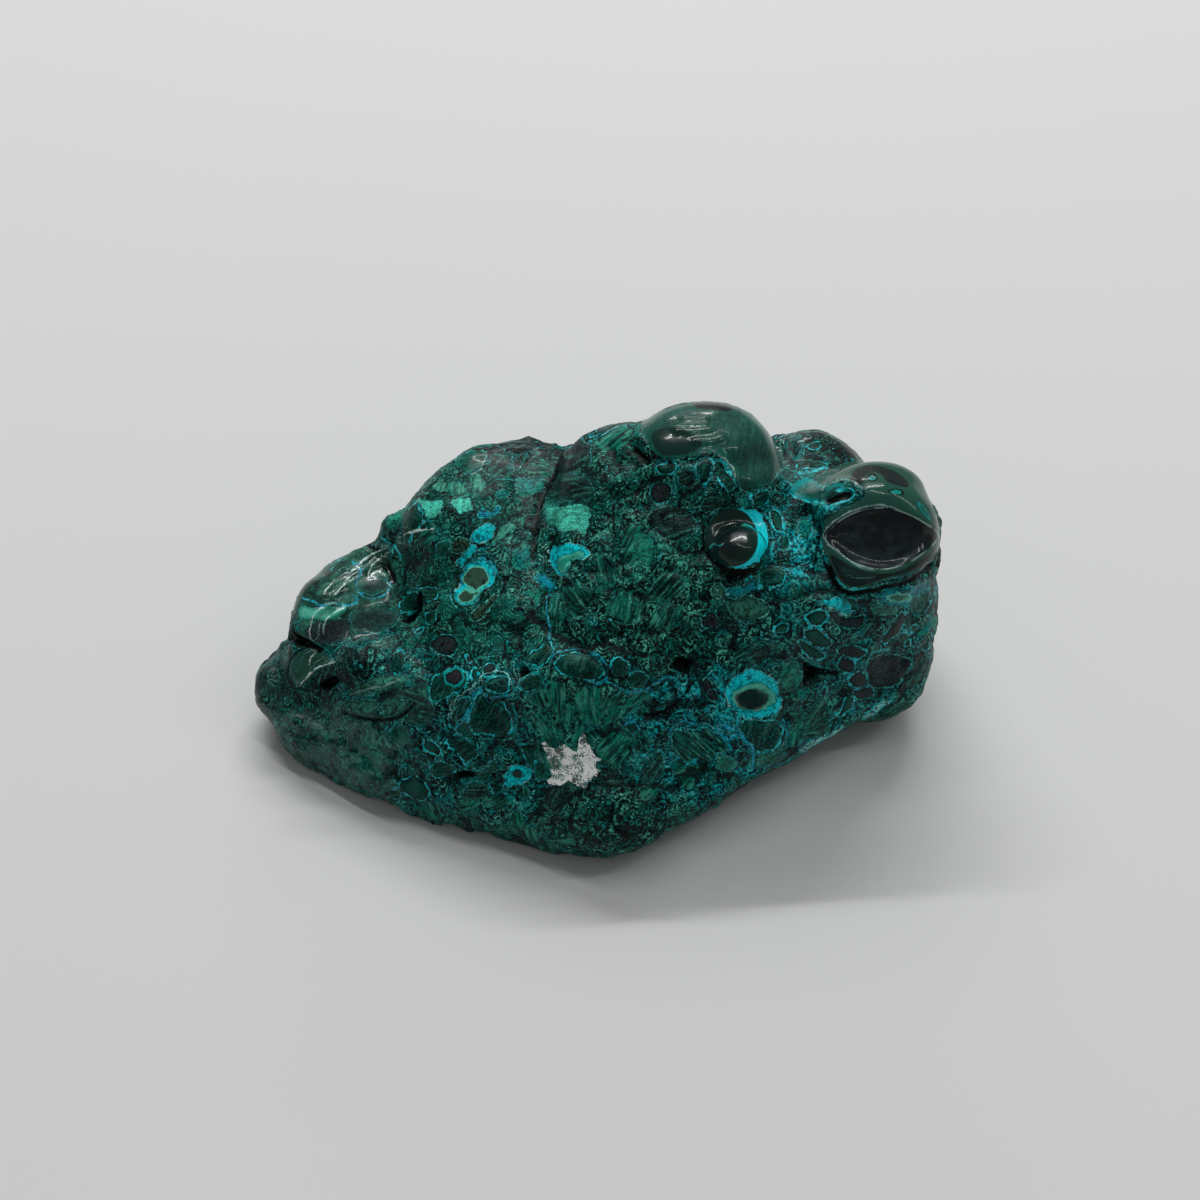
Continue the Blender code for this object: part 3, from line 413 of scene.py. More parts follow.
# Cracks, creases and, with a depth below 0, ridges: width in pixels, depth in mm, and the line's corners.
CREASES = {
    # Creases that go deeper than about a third of a mm are also painted black, as painted shade.
    "shoulder_step": (7, 0.6, (565, 443, 553, 475, 540, 500, 535, 530, 533, 558)),
    "corner": (5, 0.9, (403, 619, 411, 617, 417, 607, 419, 595)),
    "curl": (4, 0.6, (424, 667, 437, 672, 450, 662)),
    "crown_foot": (6, 0.45, (640, 446, 652, 460, 690, 462, 712, 457, 735, 478, 756, 494)),
    "pit_run": (5, 0.6, (683, 658, 690, 688, 668, 710, 645, 716)),
    "side_crease": (5, 0.6, (800, 660, 818, 672, 836, 674)),
    "cell_crease": (5, 0.4, (446, 778, 470, 776, 494, 774)),
    "dome_lip": (5, 0.8, (826, 566, 838, 588, 856, 595, 888, 587, 912, 581, 937, 563)),
    "dome_side": (4, 0.5, (822, 512, 817, 530, 819, 550, 826, 566)),
    "slit": (6, 0.9, (828, 501, 838, 496, 848, 494)),
    "eye_crack": (2.4, 0.4, (762, 690, 770, 697, 767, 708)),
    "toe_notch": (6, 1.0, (284, 637, 300, 640, 318, 650)),
    "shoulder_notch": (5, 0.8, (366, 541, 382, 556, 392, 580)),
    "ball_moat": (4, 0.7, (704, 526, 703, 545, 712, 562, 735, 572, 752, 570)),
    "long_foot": (4, 0.6, (345, 714, 372, 720, 398, 718, 414, 704)),
    "ripple_a": (5, -0.35, (684, 419, 694, 421, 706, 420)),
    "ripple_b": (5, -0.35, (676, 430, 692, 431, 710, 429)),
    "ripple_c": (5, -0.35, (696, 441, 708, 441, 722, 438)),
    "crown_fold": (5, -0.4, (716, 453, 727, 461, 734, 473, 736, 484)),
    "fold_lip": (4, -0.4, (822, 490, 832, 483, 846, 480, 858, 485, 864, 492)),
    "toe_streak_a": (4, -0.65, (322, 598, 331, 588, 345, 578, 356, 568, 372, 558, 388, 548)),
    "toe_streak_b": (4, -0.65, (334, 597, 344, 588, 354, 577, 366, 570, 380, 562, 394, 556)),
    "toe_streak_c": (4, -0.65, (312, 632, 315, 618, 322, 610, 334, 606)),
    "toe_streak_d": (4, -0.65, (323, 634, 326, 624, 334, 616, 346, 609)),
    "knob_fold": (4, -0.7, (298, 687, 307, 678, 315, 670, 327, 666, 339, 664)),
    "left_ridge": (8, -0.5, (263, 700, 290, 717, 317, 730, 343, 753, 374, 782, 412, 811)),
}

# Grounds: middle and half sizes in the camera's frame, dark and bright tint, how busy and polished the
# ground is, how much painted reflection haze lies on it, how many loose growths it has and of which mixture.
GROUNDS = {
    "velvet": (640, 560, 110, 100, "black", "malachite", 0.8, 0.05, 0.0, 0.0, 0),
    "low_velvet": (620, 640, 120, 50, "black", "malachite", 0.9, 0.05, 0.0, 0.0, 0),
    "speckled_tip": (615, 815, 80, 42, "black", "malachite", 0.95, 0.1, 0.05, 0.0, 0),
    "left_dark": (436, 604, 76, 60, "black", "malachite", 0.5, 0.3, 0.0, 0.22, 1),
    "upper_left": (480, 480, 90, 55, "black", "malachite", 0.6, 0.5, 0.0, 0.3, 2),
    "top_edge": (508, 452, 58, 20, "black", "forest", 0.45, 0.6, 0.0, 0.12, 0),
    "slab_top": (572, 484, 30, 20, "black", "slate", 0.4, 0.5, 0.0, 0.0, 2),
    "left_front": (400, 745, 75, 50, "black", "teal", 0.8, 0.15, 0.12, 0.3, 1),
    "cells": (482, 740, 56, 56, "black", "teal", 0.8, 0.3, 0.0, 0.4, 1),
    "right_front": (700, 735, 85, 55, "black", "cyan", 0.8, 0.15, 0.0, 0.25, 0),
    "right_face": (860, 640, 85, 70, "forest", "teal", 0.8, 0.3, 0.04, 0.35, 3),
    "dome_foot": (800, 530, 40, 60, "black", "cyan", 0.8, 0.15, 0.0, 0.2, 3),
    "back_dome": (830, 450, 55, 25, "black", "forest", 0.5, 0.8, 0.0, 0.2, 1),
    "toe": (342, 590, 58, 54, "forest", "sage", 0.15, 1.0, 0.0, 0.0, 2),
    "tip": (262, 692, 26, 50, "black", "slate", 0.4, 0.6, 0.15, 0.0, 1),
    "left_flank": (310, 760, 90, 52, "black", "malachite", 0.5, 0.6, 0.45, 0.0, 1),
}

# What the loose growths of each mixture are.
MIXTURES = (
    ("dark", "fan", "dark", "emerald", "fan"),
    ("cell", "dark", "grey", "green", "ring", "fan"),
    ("green", "dark", "moss", "grey", "cell", "moss_grey"),
    ("ring", "ring_brown", "cell", "teal", "striped", "dark"),
)

# Loose growths: half size in mm, how many places are tried, and the share that is kept.
SCATTER_SIZES = ((2.9, 400, 0.7), (1.7, 1600, 0.7), (1.0, 4000, 0.6))
LOOSE_SHARE = 0.7            # how many of them stay where no ground says otherwise
ROOMY = 0.8                  # mm of bare ground that a loose growth needs around its middle
SIDES = tuple(math.pi * number / 3 for number in range(3))   # a loose growth is a soft hexagon
SIDE_POWER = 7               # the higher, the sharper its corners
SIDE_SIZE = 1.08             # how far its sides are drawn in
ANGULAR = 0.7                # how far it goes from an oval to the hexagon
OWN_STEP = 7.31              # how far apart in the fibre noise two growths lie
OWN_ROUND = 19.0

# The slow clouds that vary the ground where nothing else is said: their sizes in mm.
GROUND_CLOUDS = {"dark": 16.0, "bright": 11.0, "busy": 9.0, "polish": 20.0, "haze": 14.0, "mixture": 24.0}

# Crisp round growths: middle and half sizes in mm.
BULGES = {
    "ball": ((22.8, -6.0, 41.5), (4.3, 4.3, 4.3)),
    "toe_knob": ((-48.0, -6.7, 14.0), (4.8, 4.4, 4.4)),
    "brown_knob": ((48.5, -7.0, 15.5), (5.6, 4.6, 5.0)),
    "toe_top": ((-43.0, 9.0, 19.5), (5.0, 4.0, 4.0)),
    "toe_back": ((-39.8, 11.5, 21.0), (3.2, 3.2, 3.2)),
    "shoulder_low": ((-35.2, 14.0, 22.5), (3.2, 3.2, 3.2)),
    "shoulder_top": ((-33.8, 14.5, 25.5), (3.0, 3.4, 3.4)),
    "eye_cap": ((45.6, 7.1, 42.5), (8.4, 5.1, 4.9)),
    "back_shoulder": ((-19.8, 21.5, 33.8), (5.0, 4.2, 4.2)),
    "back_ridge": ((-14.0, 22.3, 34.7), (7.0, 3.6, 3.6)),
    "back_step": ((32.5, 26.9, 33.0), (3.0, 2.6, 2.6)),
    "tip": ((-54.6, -5.9, 7.3), (4.0, 5.4, 5.4)),
}

# Places that polishing has worn smooth: middle and reach in mm, and how polished they are.
WORN = {
    "toe": ((-43.0, 5.0, 17.0), 17.0, 0.8),
    "crown": ((14.0, 18.0, 44.0), 13.0, 0.8),
    "crown_side": ((-2.0, 22.0, 42.0), 12.0, 0.6),
    "back": ((-25.0, 23.0, 32.0), 16.0, 0.7),
    "brow": ((47.0, 11.0, 41.0), 13.0, 0.95),
}
WEAR_ROUNDS = 60             # how often the worn places are smoothed
WELD = 1e-6                  # metres within which the solid's corners are one
GRAIN = 0.54                 # mm between the points of the stone's skin
SOFTENING = 3                # how often the whole skin is smoothed
CUTS = 4                     # pieces that each side of an outline is rounded with
LINE_MARGIN = 14.0           # pixels around a line where the skin takes note of it
END_SLACK = 0.5              # pixels within which a place counts as next to a vein's end
LEAST_FACING = 0.02          # how far a point must face the camera to be seen
SEEN_SLACK = 0.8             # mm that a point may lie behind what the camera sees
LUMP = 3.2                   # mm across a lump of the noise that bends the outlines
FINE_LUMP = 1.1
CLOUD_HEIGHT = 1.4           # brings the noise of a cloud to about -1 and 1
FAR = 1e3                    # mm, further than any gap between two growths
KIND_NAMES = tuple(KINDS)

# How far from a growth its edge is still known, and the wall that is left between two of them, in mm.
GROWTH_REACH = 3.0
WALL = 0.3
OVERLAY_REACH = 2.0          # inlays, pupils and holes lie over the growths and may overlap

# How deep the relief is cut, in mm.
SEAM_DEPTH = 0.12
INLAY_SEAM_DEPTH = 0.06
PUPIL_DEPTH = 0.8
HOLE_DEPTH = 1.5
FOOT = 0.4                   # lower than this the skin keeps its shape, so that the stone stands flat

# A mixing step's own numbers for its inputs and its output, when it mixes colours.
MIX_SHARE, MIX_FIRST, MIX_SECOND, MIX_RESULT = 0, 6, 7, 2

STONE_IOR = 1.62
STONE_SHINE = 0.06
COAT_SHARE = 0.32
COAT_ROUGHNESS = 0.1
GRIT_HEIGHT = 0.14           # mm
FIBRE_STRETCH = (0.28, 1.7, 3.0)

TABLE_SIZE = 1500.0
TABLE_CLOUDS = 300.0
TABLE_TINT = (0.62, 0.63, 0.625)
TABLE_LIGHTER = 1.03
TABLE_ROUGHNESS = 0.75
TABLE_SHINE = 0.1
ROOM_TINT = (1.0, 1.0, 1.0)
ROOM_STRENGTH = 0.22
SENSOR_WIDTH = 36.0
CAMERA_NEAREST = 10.0

# Light panels: direction from the stone, distance and size in mm, and watts.
PANELS = {
    "window": ((0.02, 0.75, 0.8), 2500, (1900, 1000), 14.0),
    "back_tube": ((-0.05, 0.66, 0.8), 1400, (1250, 26), 10.0),
    "top_tube": ((0.1, 0.15, 1.0), 1400, (1250, 26), 4.0),
    "far_tube": ((-0.04, 0.95, 0.3), 1400, (500, 30), 1.5),
    "right_tube": ((0.63, 0.06, 0.77), 1400, (30, 500), 1.5),
}


# ---------------------------------------------------------------- small helpers
def smooth(values, low, high):
    """Rise softly from 0 at low to 1 at high."""
    part = np.clip((values - low) / (high - low), 0.0, 1.0)
    return part * part * (3.0 - 2.0 * part)


def tint(name):
    """A named colour as linear red, green and blue."""
    parts = np.array(TINTS[name]) / 255.0
    return np.where(parts <= 0.04045, parts / 12.92, ((parts + 0.055) / 1.055) ** 2.4)


def blend3(first, second, share):
    """Mix two colours, or arrays of them, by a share for each point."""
    return first + (second - first) * share[:, None]


def corner_values(x, y, z, seed):
    """A repeatable random number from -1 to 1 for each corner of a cubic lattice."""
    mixed = (x * 374761393 + y * 668265263 + z * 1274126177 + seed * 974634777) & 0xFFFFFFFF
    mixed = ((mixed ^ (mixed >> 13)) * 1103515245) & 0xFFFFFFFF
    mixed = ((mixed ^ (mixed >> 16)) * 2654435761) & 0xFFFFFFFF
    return (mixed >> 8) / float(1 << 23) - 1.0


def cloud(points, size, seed):
    """Soft noise from about -1 to 1 whose lumps are size mm across."""
    spot = points / size
    cell = np.floor(spot).astype(np.int64)
    part = smooth(spot - cell, 0.0, 1.0)
    total = np.zeros(len(points))
    for corner in np.ndindex(2, 2, 2):
        share = np.abs(1 - np.array(corner) - part).prod(axis=1)
        x, y, z = (cell + corner).T
        total += share * corner_values(x, y, z, seed)
    return total * CLOUD_HEIGHT


def as_seen(points):
    """Where points in mm fall in the camera's frame: across and down, in pixels."""
    away = points - np.array(CAMERA_PLACE)
    depth = away @ np.array(LOOK)
    across = PICTURE / 2 + FOCAL_PX * (away @ np.array(RIGHT)) / depth
    down = PICTURE / 2 - FOCAL_PX * (away @ np.array(UP)) / depth
    return across, down


def turned(across, down, degrees):
    """Offsets read along and across an axis that is turned on the camera's frame."""
    turn = math.radians(degrees)
    along = across * math.cos(turn) - down * math.sin(turn)
    beside = across * math.sin(turn) + down * math.cos(turn)
    return along, beside


def rounded(corners, closed):
    """A line or a closed outline that runs softly through its corners (a Catmull-Rom curve)."""
    corners = np.reshape(np.array(corners, float), (-1, 2))
    if not closed:
        corners = np.vstack((corners[:1], corners, corners[-1:]))
    before, start, end, after = (np.roll(corners, -shift, axis=0) for shift in range(4))
    parts = []
    for number in range(CUTS):
        step = number / CUTS
        bend = (2 * before - 5 * start + 4 * end - after) * step ** 2
        twist = (3 * start - before - 3 * end + after) * step ** 3
        parts.append((2 * start + (end - before) * step + bend + twist) / 2)
    line = np.stack(parts, axis=1).reshape(-1, 2)
    return line if closed else np.vstack((line[:CUTS * (len(corners) - 3)], corners[-1:]))


def from_line(across, down, line, closed):
    """Each place's distance to a line in pixels, its side of it, and whether a closed line holds it."""
    gap = np.full(len(across), np.inf)
    side = np.zeros(len(across))
    inside = np.zeros(len(across), bool)
    ends = np.roll(line, -1, axis=0)
    pairs = list(zip(line, ends))
    for (x, y), (end_x, end_y) in pairs if closed else pairs[:-1]:
        run, drop = end_x - x, end_y - y
        off_x, off_y = across - x, down - y
        share = np.clip((off_x * run + off_y * drop) / max(run * run + drop * drop, 1e-9), 0.0, 1.0)
        off = np.hypot(off_x - share * run, off_y - share * drop)
        closer = off < gap
        gap = np.where(closer, off, gap)
        side = np.where(closer, np.sign(run * off_y - drop * off_x), side)
        if closed and drop:
            inside ^= ((y > down) != (end_y > down)) & (off_x < run * off_y / drop)
    return gap, side, inside


# ---------------------------------------------------------------- the stone's mesh
def merged_stone():
    """The stone's solid as one closed mesh whose faces share their corners."""
    shape = bmesh.new()
    shape.from_mesh(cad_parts["specimen"].data)
    bmesh.ops.remove_doubles(shape, verts=shape.verts, dist=WELD)
    return shape


def add_bulge(shape, middle, half_sizes):
    """Sink a crisp round bulge into the stone."""
    place = Matrix.Translation(Vector(middle) * MM)
    size = Matrix.Diagonal((*(Vector(half_sizes) * MM), 1.0))
    bmesh.ops.create_icosphere(shape, subdivisions=4, radius=1.0, matrix=place @ size)


def applied(shape, name, finishing):
    """A mesh made from a bmesh with the given modifiers applied."""
    rough = bpy.data.meshes.new(name)
    shape.to_mesh(rough)
    shape.free()
    holder = bpy.data.objects.new(name, rough)
    bpy.context.scene.collection.objects.link(holder)
    for kind, settings in finishing:
        step = holder.modifiers.new(kind.title(), kind)
        for key, value in settings.items():
            setattr(step, key, value)
    seen = holder.evaluated_get(bpy.context.evaluated_depsgraph_get())
    made = bpy.data.meshes.new_from_object(seen)
    bpy.data.objects.remove(holder)
    bpy.data.meshes.remove(rough)
    return made


def smooth_skin():
    """The stone without its facets, with its round growths crisp again."""
    rounding = [("SUBSURF", {"levels": 2, "render_levels": 2})]
    soft = applied(merged_stone(), "rounded", rounding)
    shape = bmesh.new()
    shape.from_mesh(soft)
    bpy.data.meshes.remove(soft)
    for middle, half_sizes in BULGES.values():
        add_bulge(shape, middle, half_sizes)
    fusing = [
        ("REMESH", {"mode": "VOXEL", "voxel_size": GRAIN * MM, "use_smooth_shade": True}),
        ("SMOOTH", {"factor": 0.5, "iterations": SOFTENING}),
    ]
    return applied(shape, "skin", fusing)


class Skin:
    """The stone's surface as arrays: points and outward directions in mm, and how the camera sees them."""

    def __init__(self, mesh):
        self.mesh = mesh
        self.count = len(mesh.vertices)
        self.points = self.per_point(mesh.vertices, "co") / MM
        self.wear()
        self.outward = self.per_point(mesh.vertex_normals, "vector")
        self.across, self.down = as_seen(self.points)
        away = np.array(CAMERA_PLACE) - self.points
        distance = np.linalg.norm(away, axis=1)
        self.facing = (self.outward * away).sum(1) / distance
        self.seen = self.facing > LEAST_FACING
        tree = BVHTree.FromPolygons(self.points.tolist(), [tuple(f.vertices) for f in mesh.polygons])
        for index in np.flatnonzero(self.seen):
            struck = tree.ray_cast(CAMERA_PLACE, Vector(-away[index]))[3]
            self.seen[index] = struck is None or struck > distance[index] - SEEN_SLACK
        self.lump = cloud(self.points, LUMP, SEED)
        self.fine_lump = cloud(self.points, FINE_LUMP, SEED + 1)

    def per_point(self, source, key):
        """Three numbers for each point of the mesh, as an array."""
        values = np.empty(self.count * 3, np.float32)
        source.foreach_get(key, values)
        return values.reshape(-1, 3).astype(float)

    def wear(self):
        """Draw the points of the worn places towards the middle of their neighbours, again and again."""
        ends = np.empty(len(self.mesh.edges) * 2, np.int32)
        self.mesh.edges.foreach_get("vertices", ends)
        ends = np.vstack((ends.reshape(-1, 2), ends.reshape(-1, 2)[:, ::-1]))
        meeting = np.bincount(ends[:, 0], minlength=self.count)
        share = np.zeros(self.count)
        self.worn = np.zeros(self.count)
        for middle, reach, polish in WORN.values():
            gap = np.linalg.norm(self.points - middle, axis=1)
            here = smooth(-gap, -reach, -0.6 * reach)
            share = np.maximum(share, here)
            self.worn = np.maximum(self.worn, polish * here)
        for _ in range(WEAR_ROUNDS):
            parts = [np.bincount(ends[:, 0], self.points[ends[:, 1], axis], self.count) for axis in range(3)]
            middles = np.stack(parts, axis=1) / meeting[:, None]
            self.points = blend3(self.points, middles, 0.5 * share)
        self.move_to(self.points)

    def move(self, lift):
        """Move every point along its outward direction by lift mm."""
        self.move_to(self.points + self.outward * lift[:, None])

    def move_to(self, points):
        """Put every point in its new place, none of them below the table."""
        self.points = points
        self.points[:, 2] = np.maximum(self.points[:, 2], 0.0)
        self.mesh.vertices.foreach_set("co", (self.points * MM).astype(np.float32).ravel())
        self.mesh.update()

    def near(self, middle, reach):
        """The points within reach mm of a place."""
        away = self.points - middle
        return np.flatnonzero((away * away).sum(1) < reach * reach)

    def near_line(self, line):
        """The seen points around a line in the camera's frame."""
        low, high = line.min(0) - LINE_MARGIN, line.max(0) + LINE_MARGIN
        beside = (self.across > low[0]) & (self.across < high[0])
        return np.flatnonzero(self.seen & beside & (self.down > low[1]) & (self.down < high[1]))


# ---------------------------------------------------------------- growths
class Kinds:
    """The kind of growth at every point of the skin, and what the table of kinds says of it."""

    def __init__(self, count):
        self.kind = np.zeros(count, int)

    def numbers(self, column):
        """One number per point, from the growth's kind."""
        return np.array([KINDS[name][column] for name in KIND_NAMES])[self.kind]

    def colours(self, column):
        """One linear colour per point, from the growth's kind."""
        return np.array([tint(KINDS[name][column]) for name in KIND_NAMES])[self.kind]


class Layer(Kinds):
    """For every point of the skin: the growth it belongs to, and where in that growth it lies."""

    def __init__(self, skin, reach, wall):
        super().__init__(skin.count)
        self.skin = skin
        self.wall = wall                           # mm left between two growths that meet
        self.edge = np.full(skin.count, -reach)    # mm inside the outline, less than 0 outside
        self.ring = np.full(skin.count, 3.0)       # 0 in the middle, 1 on the outline
        self.size = np.ones(skin.count)
        self.grain = np.zeros((skin.count, 3))     # mm along and across, and the growth's own number
        self.laid = 0

    def lay_outlines(self, outlines):
        """Lay growths whose outlines are drawn in the camera's frame."""
        for kind, turn, corners in outlines.values():
            line = rounded(corners, True)
            near = self.skin.near_line(line)
            across, down = self.skin.across[near], self.skin.down[near]
            gap, _, inside = from_line(across, down, line, True)
            rough = min(1.0, 3.0 * KINDS[kind][MOTTLE])
            edge = np.where(inside, gap, -gap) * PX
            edge = edge + (0.16 * self.skin.lump[near] + 0.16 * self.skin.fine_lump[near]) * rough
            deepest = max(edge.max(), 0.3)
            along, beside = turned(across - line[:, 0].mean(), down - line[:, 1].mean(), turn)
            self.take(near, edge, 1.0 - edge / deepest, deepest, along * PX, beside * PX, kind)

    def lay(self, near, along, beside, off, half_long, half_wide, kind):
        """Lay an angular growth over nearby points, given their offsets from its middle in mm."""
        long_part, wide_part = along / half_long, beside / half_wide
        oval = np.hypot(long_part, wide_part)
        sides = (long_part * math.cos(turn) + wide_part * math.sin(turn) for turn in SIDES)
        hexagon = sum(np.abs(side) ** SIDE_POWER for side in sides) ** (1.0 / SIDE_POWER)
        flat = oval + (hexagon * SIDE_SIZE - oval) * ANGULAR
        bend = 0.3 * self.skin.lump[near] + 0.2 * self.skin.fine_lump[near]
        ring = flat * (1.0 + bend) + 0.5 * (off / (half_long + half_wide)) ** 2
        reach = np.sqrt(along ** 2 + beside ** 2 + off ** 2)
        edge = reach * (1.0 / np.maximum(ring, 1e-3) - 1.0)
        edge = np.where(ring < 0.02, half_wide, edge)
        self.take(near, edge, ring, min(half_long, half_wide), along, beside, kind)

    def take(self, near, edge, ring, size, along, beside, kind):
        """Keep this growth wherever it lies clear of the ones laid before it."""
        self.laid += 1
        edge = np.minimum(edge, -self.edge[near] - self.wall)
        wins = edge > self.edge[near]
        won = near[wins]
        self.edge[won] = edge[wins]
        self.ring[won] = ring[wins]
        self.size[won] = size
        self.kind[won] = KIND_NAMES.index(kind)
        self.grain[won, 0] = along[wins]
        self.grain[won, 1] = beside[wins]
        self.grain[won, 2] = (self.laid * OWN_STEP) % OWN_ROUND


class VeinsAndHighlightLines(Kinds):
    """Thin veins and painted highlight lines: each point's side of the nearest line in mm, and that line's
    half width.
    """

    def __init__(self, skin, routes):
        super().__init__(skin.count)
        self.side = np.full(skin.count, 3.0)
        self.room = np.full(skin.count, -1.0)
        for kind, half_width, corners in routes.values():
            line = rounded(corners, False)
            near = skin.near_line(line)
            across, down = skin.across[near], skin.down[near]
            gap, side, _ = from_line(across, down, line, False)
            past = np.zeros(len(near))
            for end, inner in ((line[0], line[1]), (line[-1], line[-2])):
                run = (end - inner) / np.linalg.norm(end - inner)
                off_x, off_y = across - end[0], down - end[1]
                beyond = np.maximum(past, off_x * run[0] + off_y * run[1])
                past = np.where(np.hypot(off_x, off_y) < gap + END_SLACK, beyond, past)
            wobble = 1.0 + 0.4 * skin.lump[near] + 0.3 * skin.fine_lump[near]
            room = (half_width * wobble - past) * PX
            wins = room - gap * PX > self.room[near] - np.abs(self.side[near])
            won = near[wins]
            self.side[won] = (side * gap * PX)[wins]
            self.room[won] = room[wins]
            self.kind[won] = KIND_NAMES.index(kind)


def scatter(skin, layer, chance):
    """Fill the skin that is left with smaller and smaller seeded growths."""
    middles = np.empty((0, 3))
    radii = np.empty(0)
    roomy = layer.edge < -ROOMY
    for half_size, tries, share in SCATTER_SIZES:
        for index in chance.integers(0, skin.count, tries):
            keep, longer, wider, turn, choice, _ = chance.random(6)
            middle = skin.points[index]
            gap = (np.linalg.norm(middles - middle, axis=1) - radii).min(initial=FAR)
            if not roomy[index] or keep > share * skin.scatter[index] or gap < 0.5 * half_size:
                continue
            half_long = half_size * (0.9 + 0.6 * longer)
            half_wide = half_long * (0.45 + 0.5 * wider)
            lay_loose(skin, layer, index, half_long, half_wide, turn, pick_kind(skin, index, choice))
            middles = np.vstack((middles, middle))
            radii = np.append(radii, half_wide)


def pick_kind(skin, index, draw):
    """The kind of a scattered growth, from the mixture of the ground it sits in."""
    mixture = MIXTURES[skin.mixture[index]]
    return mixture[int(draw * len(mixture))]


def lay_loose(skin, layer, index, half_long, half_wide, turn, kind):
    """Lay a growth on any side of the stone, flat on the skin and turned by a share of a half turn."""
    middle, normal = skin.points[index], skin.outward[index]
    level = np.cross(normal, (0.0, 0.0, 1.0))
    level = level if np.linalg.norm(level) > 0.1 else np.array((1.0, 0.0, 0.0))
    level = level / np.linalg.norm(level)
    rise = np.cross(normal, level)
    spin = math.pi * turn
    long_way = level * math.cos(spin) + rise * math.sin(spin)
    wide_way = np.cross(normal, long_way)
    near = skin.near(middle, 2.0 * half_long + 1.5)
    near = near[(skin.outward[near] @ normal) > 0.1]
    away = skin.points[near] - middle
    layer.lay(near, away @ long_way, away @ wide_way, away @ normal, half_long, half_wide, kind)


def drawn_layer(skin, outlines):
    """A layer of drawn growths that lie over the others and may overlap."""
    layer = Layer(skin, OVERLAY_REACH, -OVERLAY_REACH)
    layer.lay_outlines(outlines)
    return layer


# ---------------------------------------------------------------- the ground between the growths
def paint_ground(skin):
    """Give every point of the skin its ground: a dark and a bright tint, how busy, how polished."""
    slow = {}
    for number, (name, size) in enumerate(GROUND_CLOUDS.items()):
        slow[name] = cloud(skin.points, size, SEED + 2 + number)
    skin.dark = blend3(tint("black"), tint("forest"), smooth(slow["dark"], -0.5, 0.5))
    skin.bright = blend3(tint("teal"), tint("malachite"), smooth(slow["bright"], -0.4, 0.6))
    skin.busy = 0.6 + 0.35 * smooth(slow["busy"], -0.6, 0.6)
    skin.polish = 0.1 + 0.4 * smooth(slow["polish"], -0.3, 0.5)
    skin.polish = np.maximum(skin.polish, np.where(skin.seen, 0.0, skin.worn))
    # A painted reflection haze: a grey veil that stands in for the sheen on the flanks.
    skin.haze = 0.12 * smooth(slow["haze"], 0.1, 0.9)
    skin.scatter = np.full(skin.count, LOOSE_SHARE)
    pick = smooth(slow["mixture"], -0.8, 0.8)
    skin.mixture = np.minimum((pick * len(MIXTURES)).astype(int), len(MIXTURES) - 1)
    for x, y, half_wide, half_high, dark, bright, busy, polish, haze, loose, mixture in GROUNDS.values():
        spread = np.hypot((skin.across - x) / half_wide, (skin.down - y) / half_high)
        share = smooth(-spread - 0.25 * skin.lump, -1.25, -0.75) * smooth(skin.facing, -0.05, 0.12)
        skin.dark = blend3(skin.dark, tint(dark), share)
        skin.bright = blend3(skin.bright, tint(bright), share)
        skin.busy += (busy - skin.busy) * share
        skin.polish += (polish - skin.polish) * share
        skin.haze += (haze - skin.haze) * share
        skin.scatter += (loose - skin.scatter) * share
        skin.mixture = np.where(share > 0.5, mixture, skin.mixture)


def cut_creases(skin):
    """How deep the cracks and creases go at each point, in mm, and less than 0 on the ridges."""
    depth = np.zeros(skin.count)
    for width, deep, corners in CREASES.values():
        line = rounded(corners, False)
        near = skin.near_line(line)
        gap, _, _ = from_line(skin.across[near], skin.down[near], line, False)
        gap = gap * (1.0 + 0.25 * skin.fine_lump[near])
        share = smooth(-gap, -width, -0.15 * width)
        depth[near] = np.where(share > 0, depth[near] + (deep - depth[near]) * share, depth[near])
    return depth


def glare_edge(skin):
    """How far inside the painted glare each point lies, in mm: a jagged pale patch that stands in for a
    reflection.
    """
    line = np.reshape(np.array(GLARE_OUTLINE, float), (-1, 2))
    near = skin.near_line(line)
    gap, _, inside = from_line(skin.across[near], skin.down[near], line, True)
    edge = np.full(skin.count, -3.0)
    edge[near] = np.where(inside, gap, -gap) * PX
    return edge


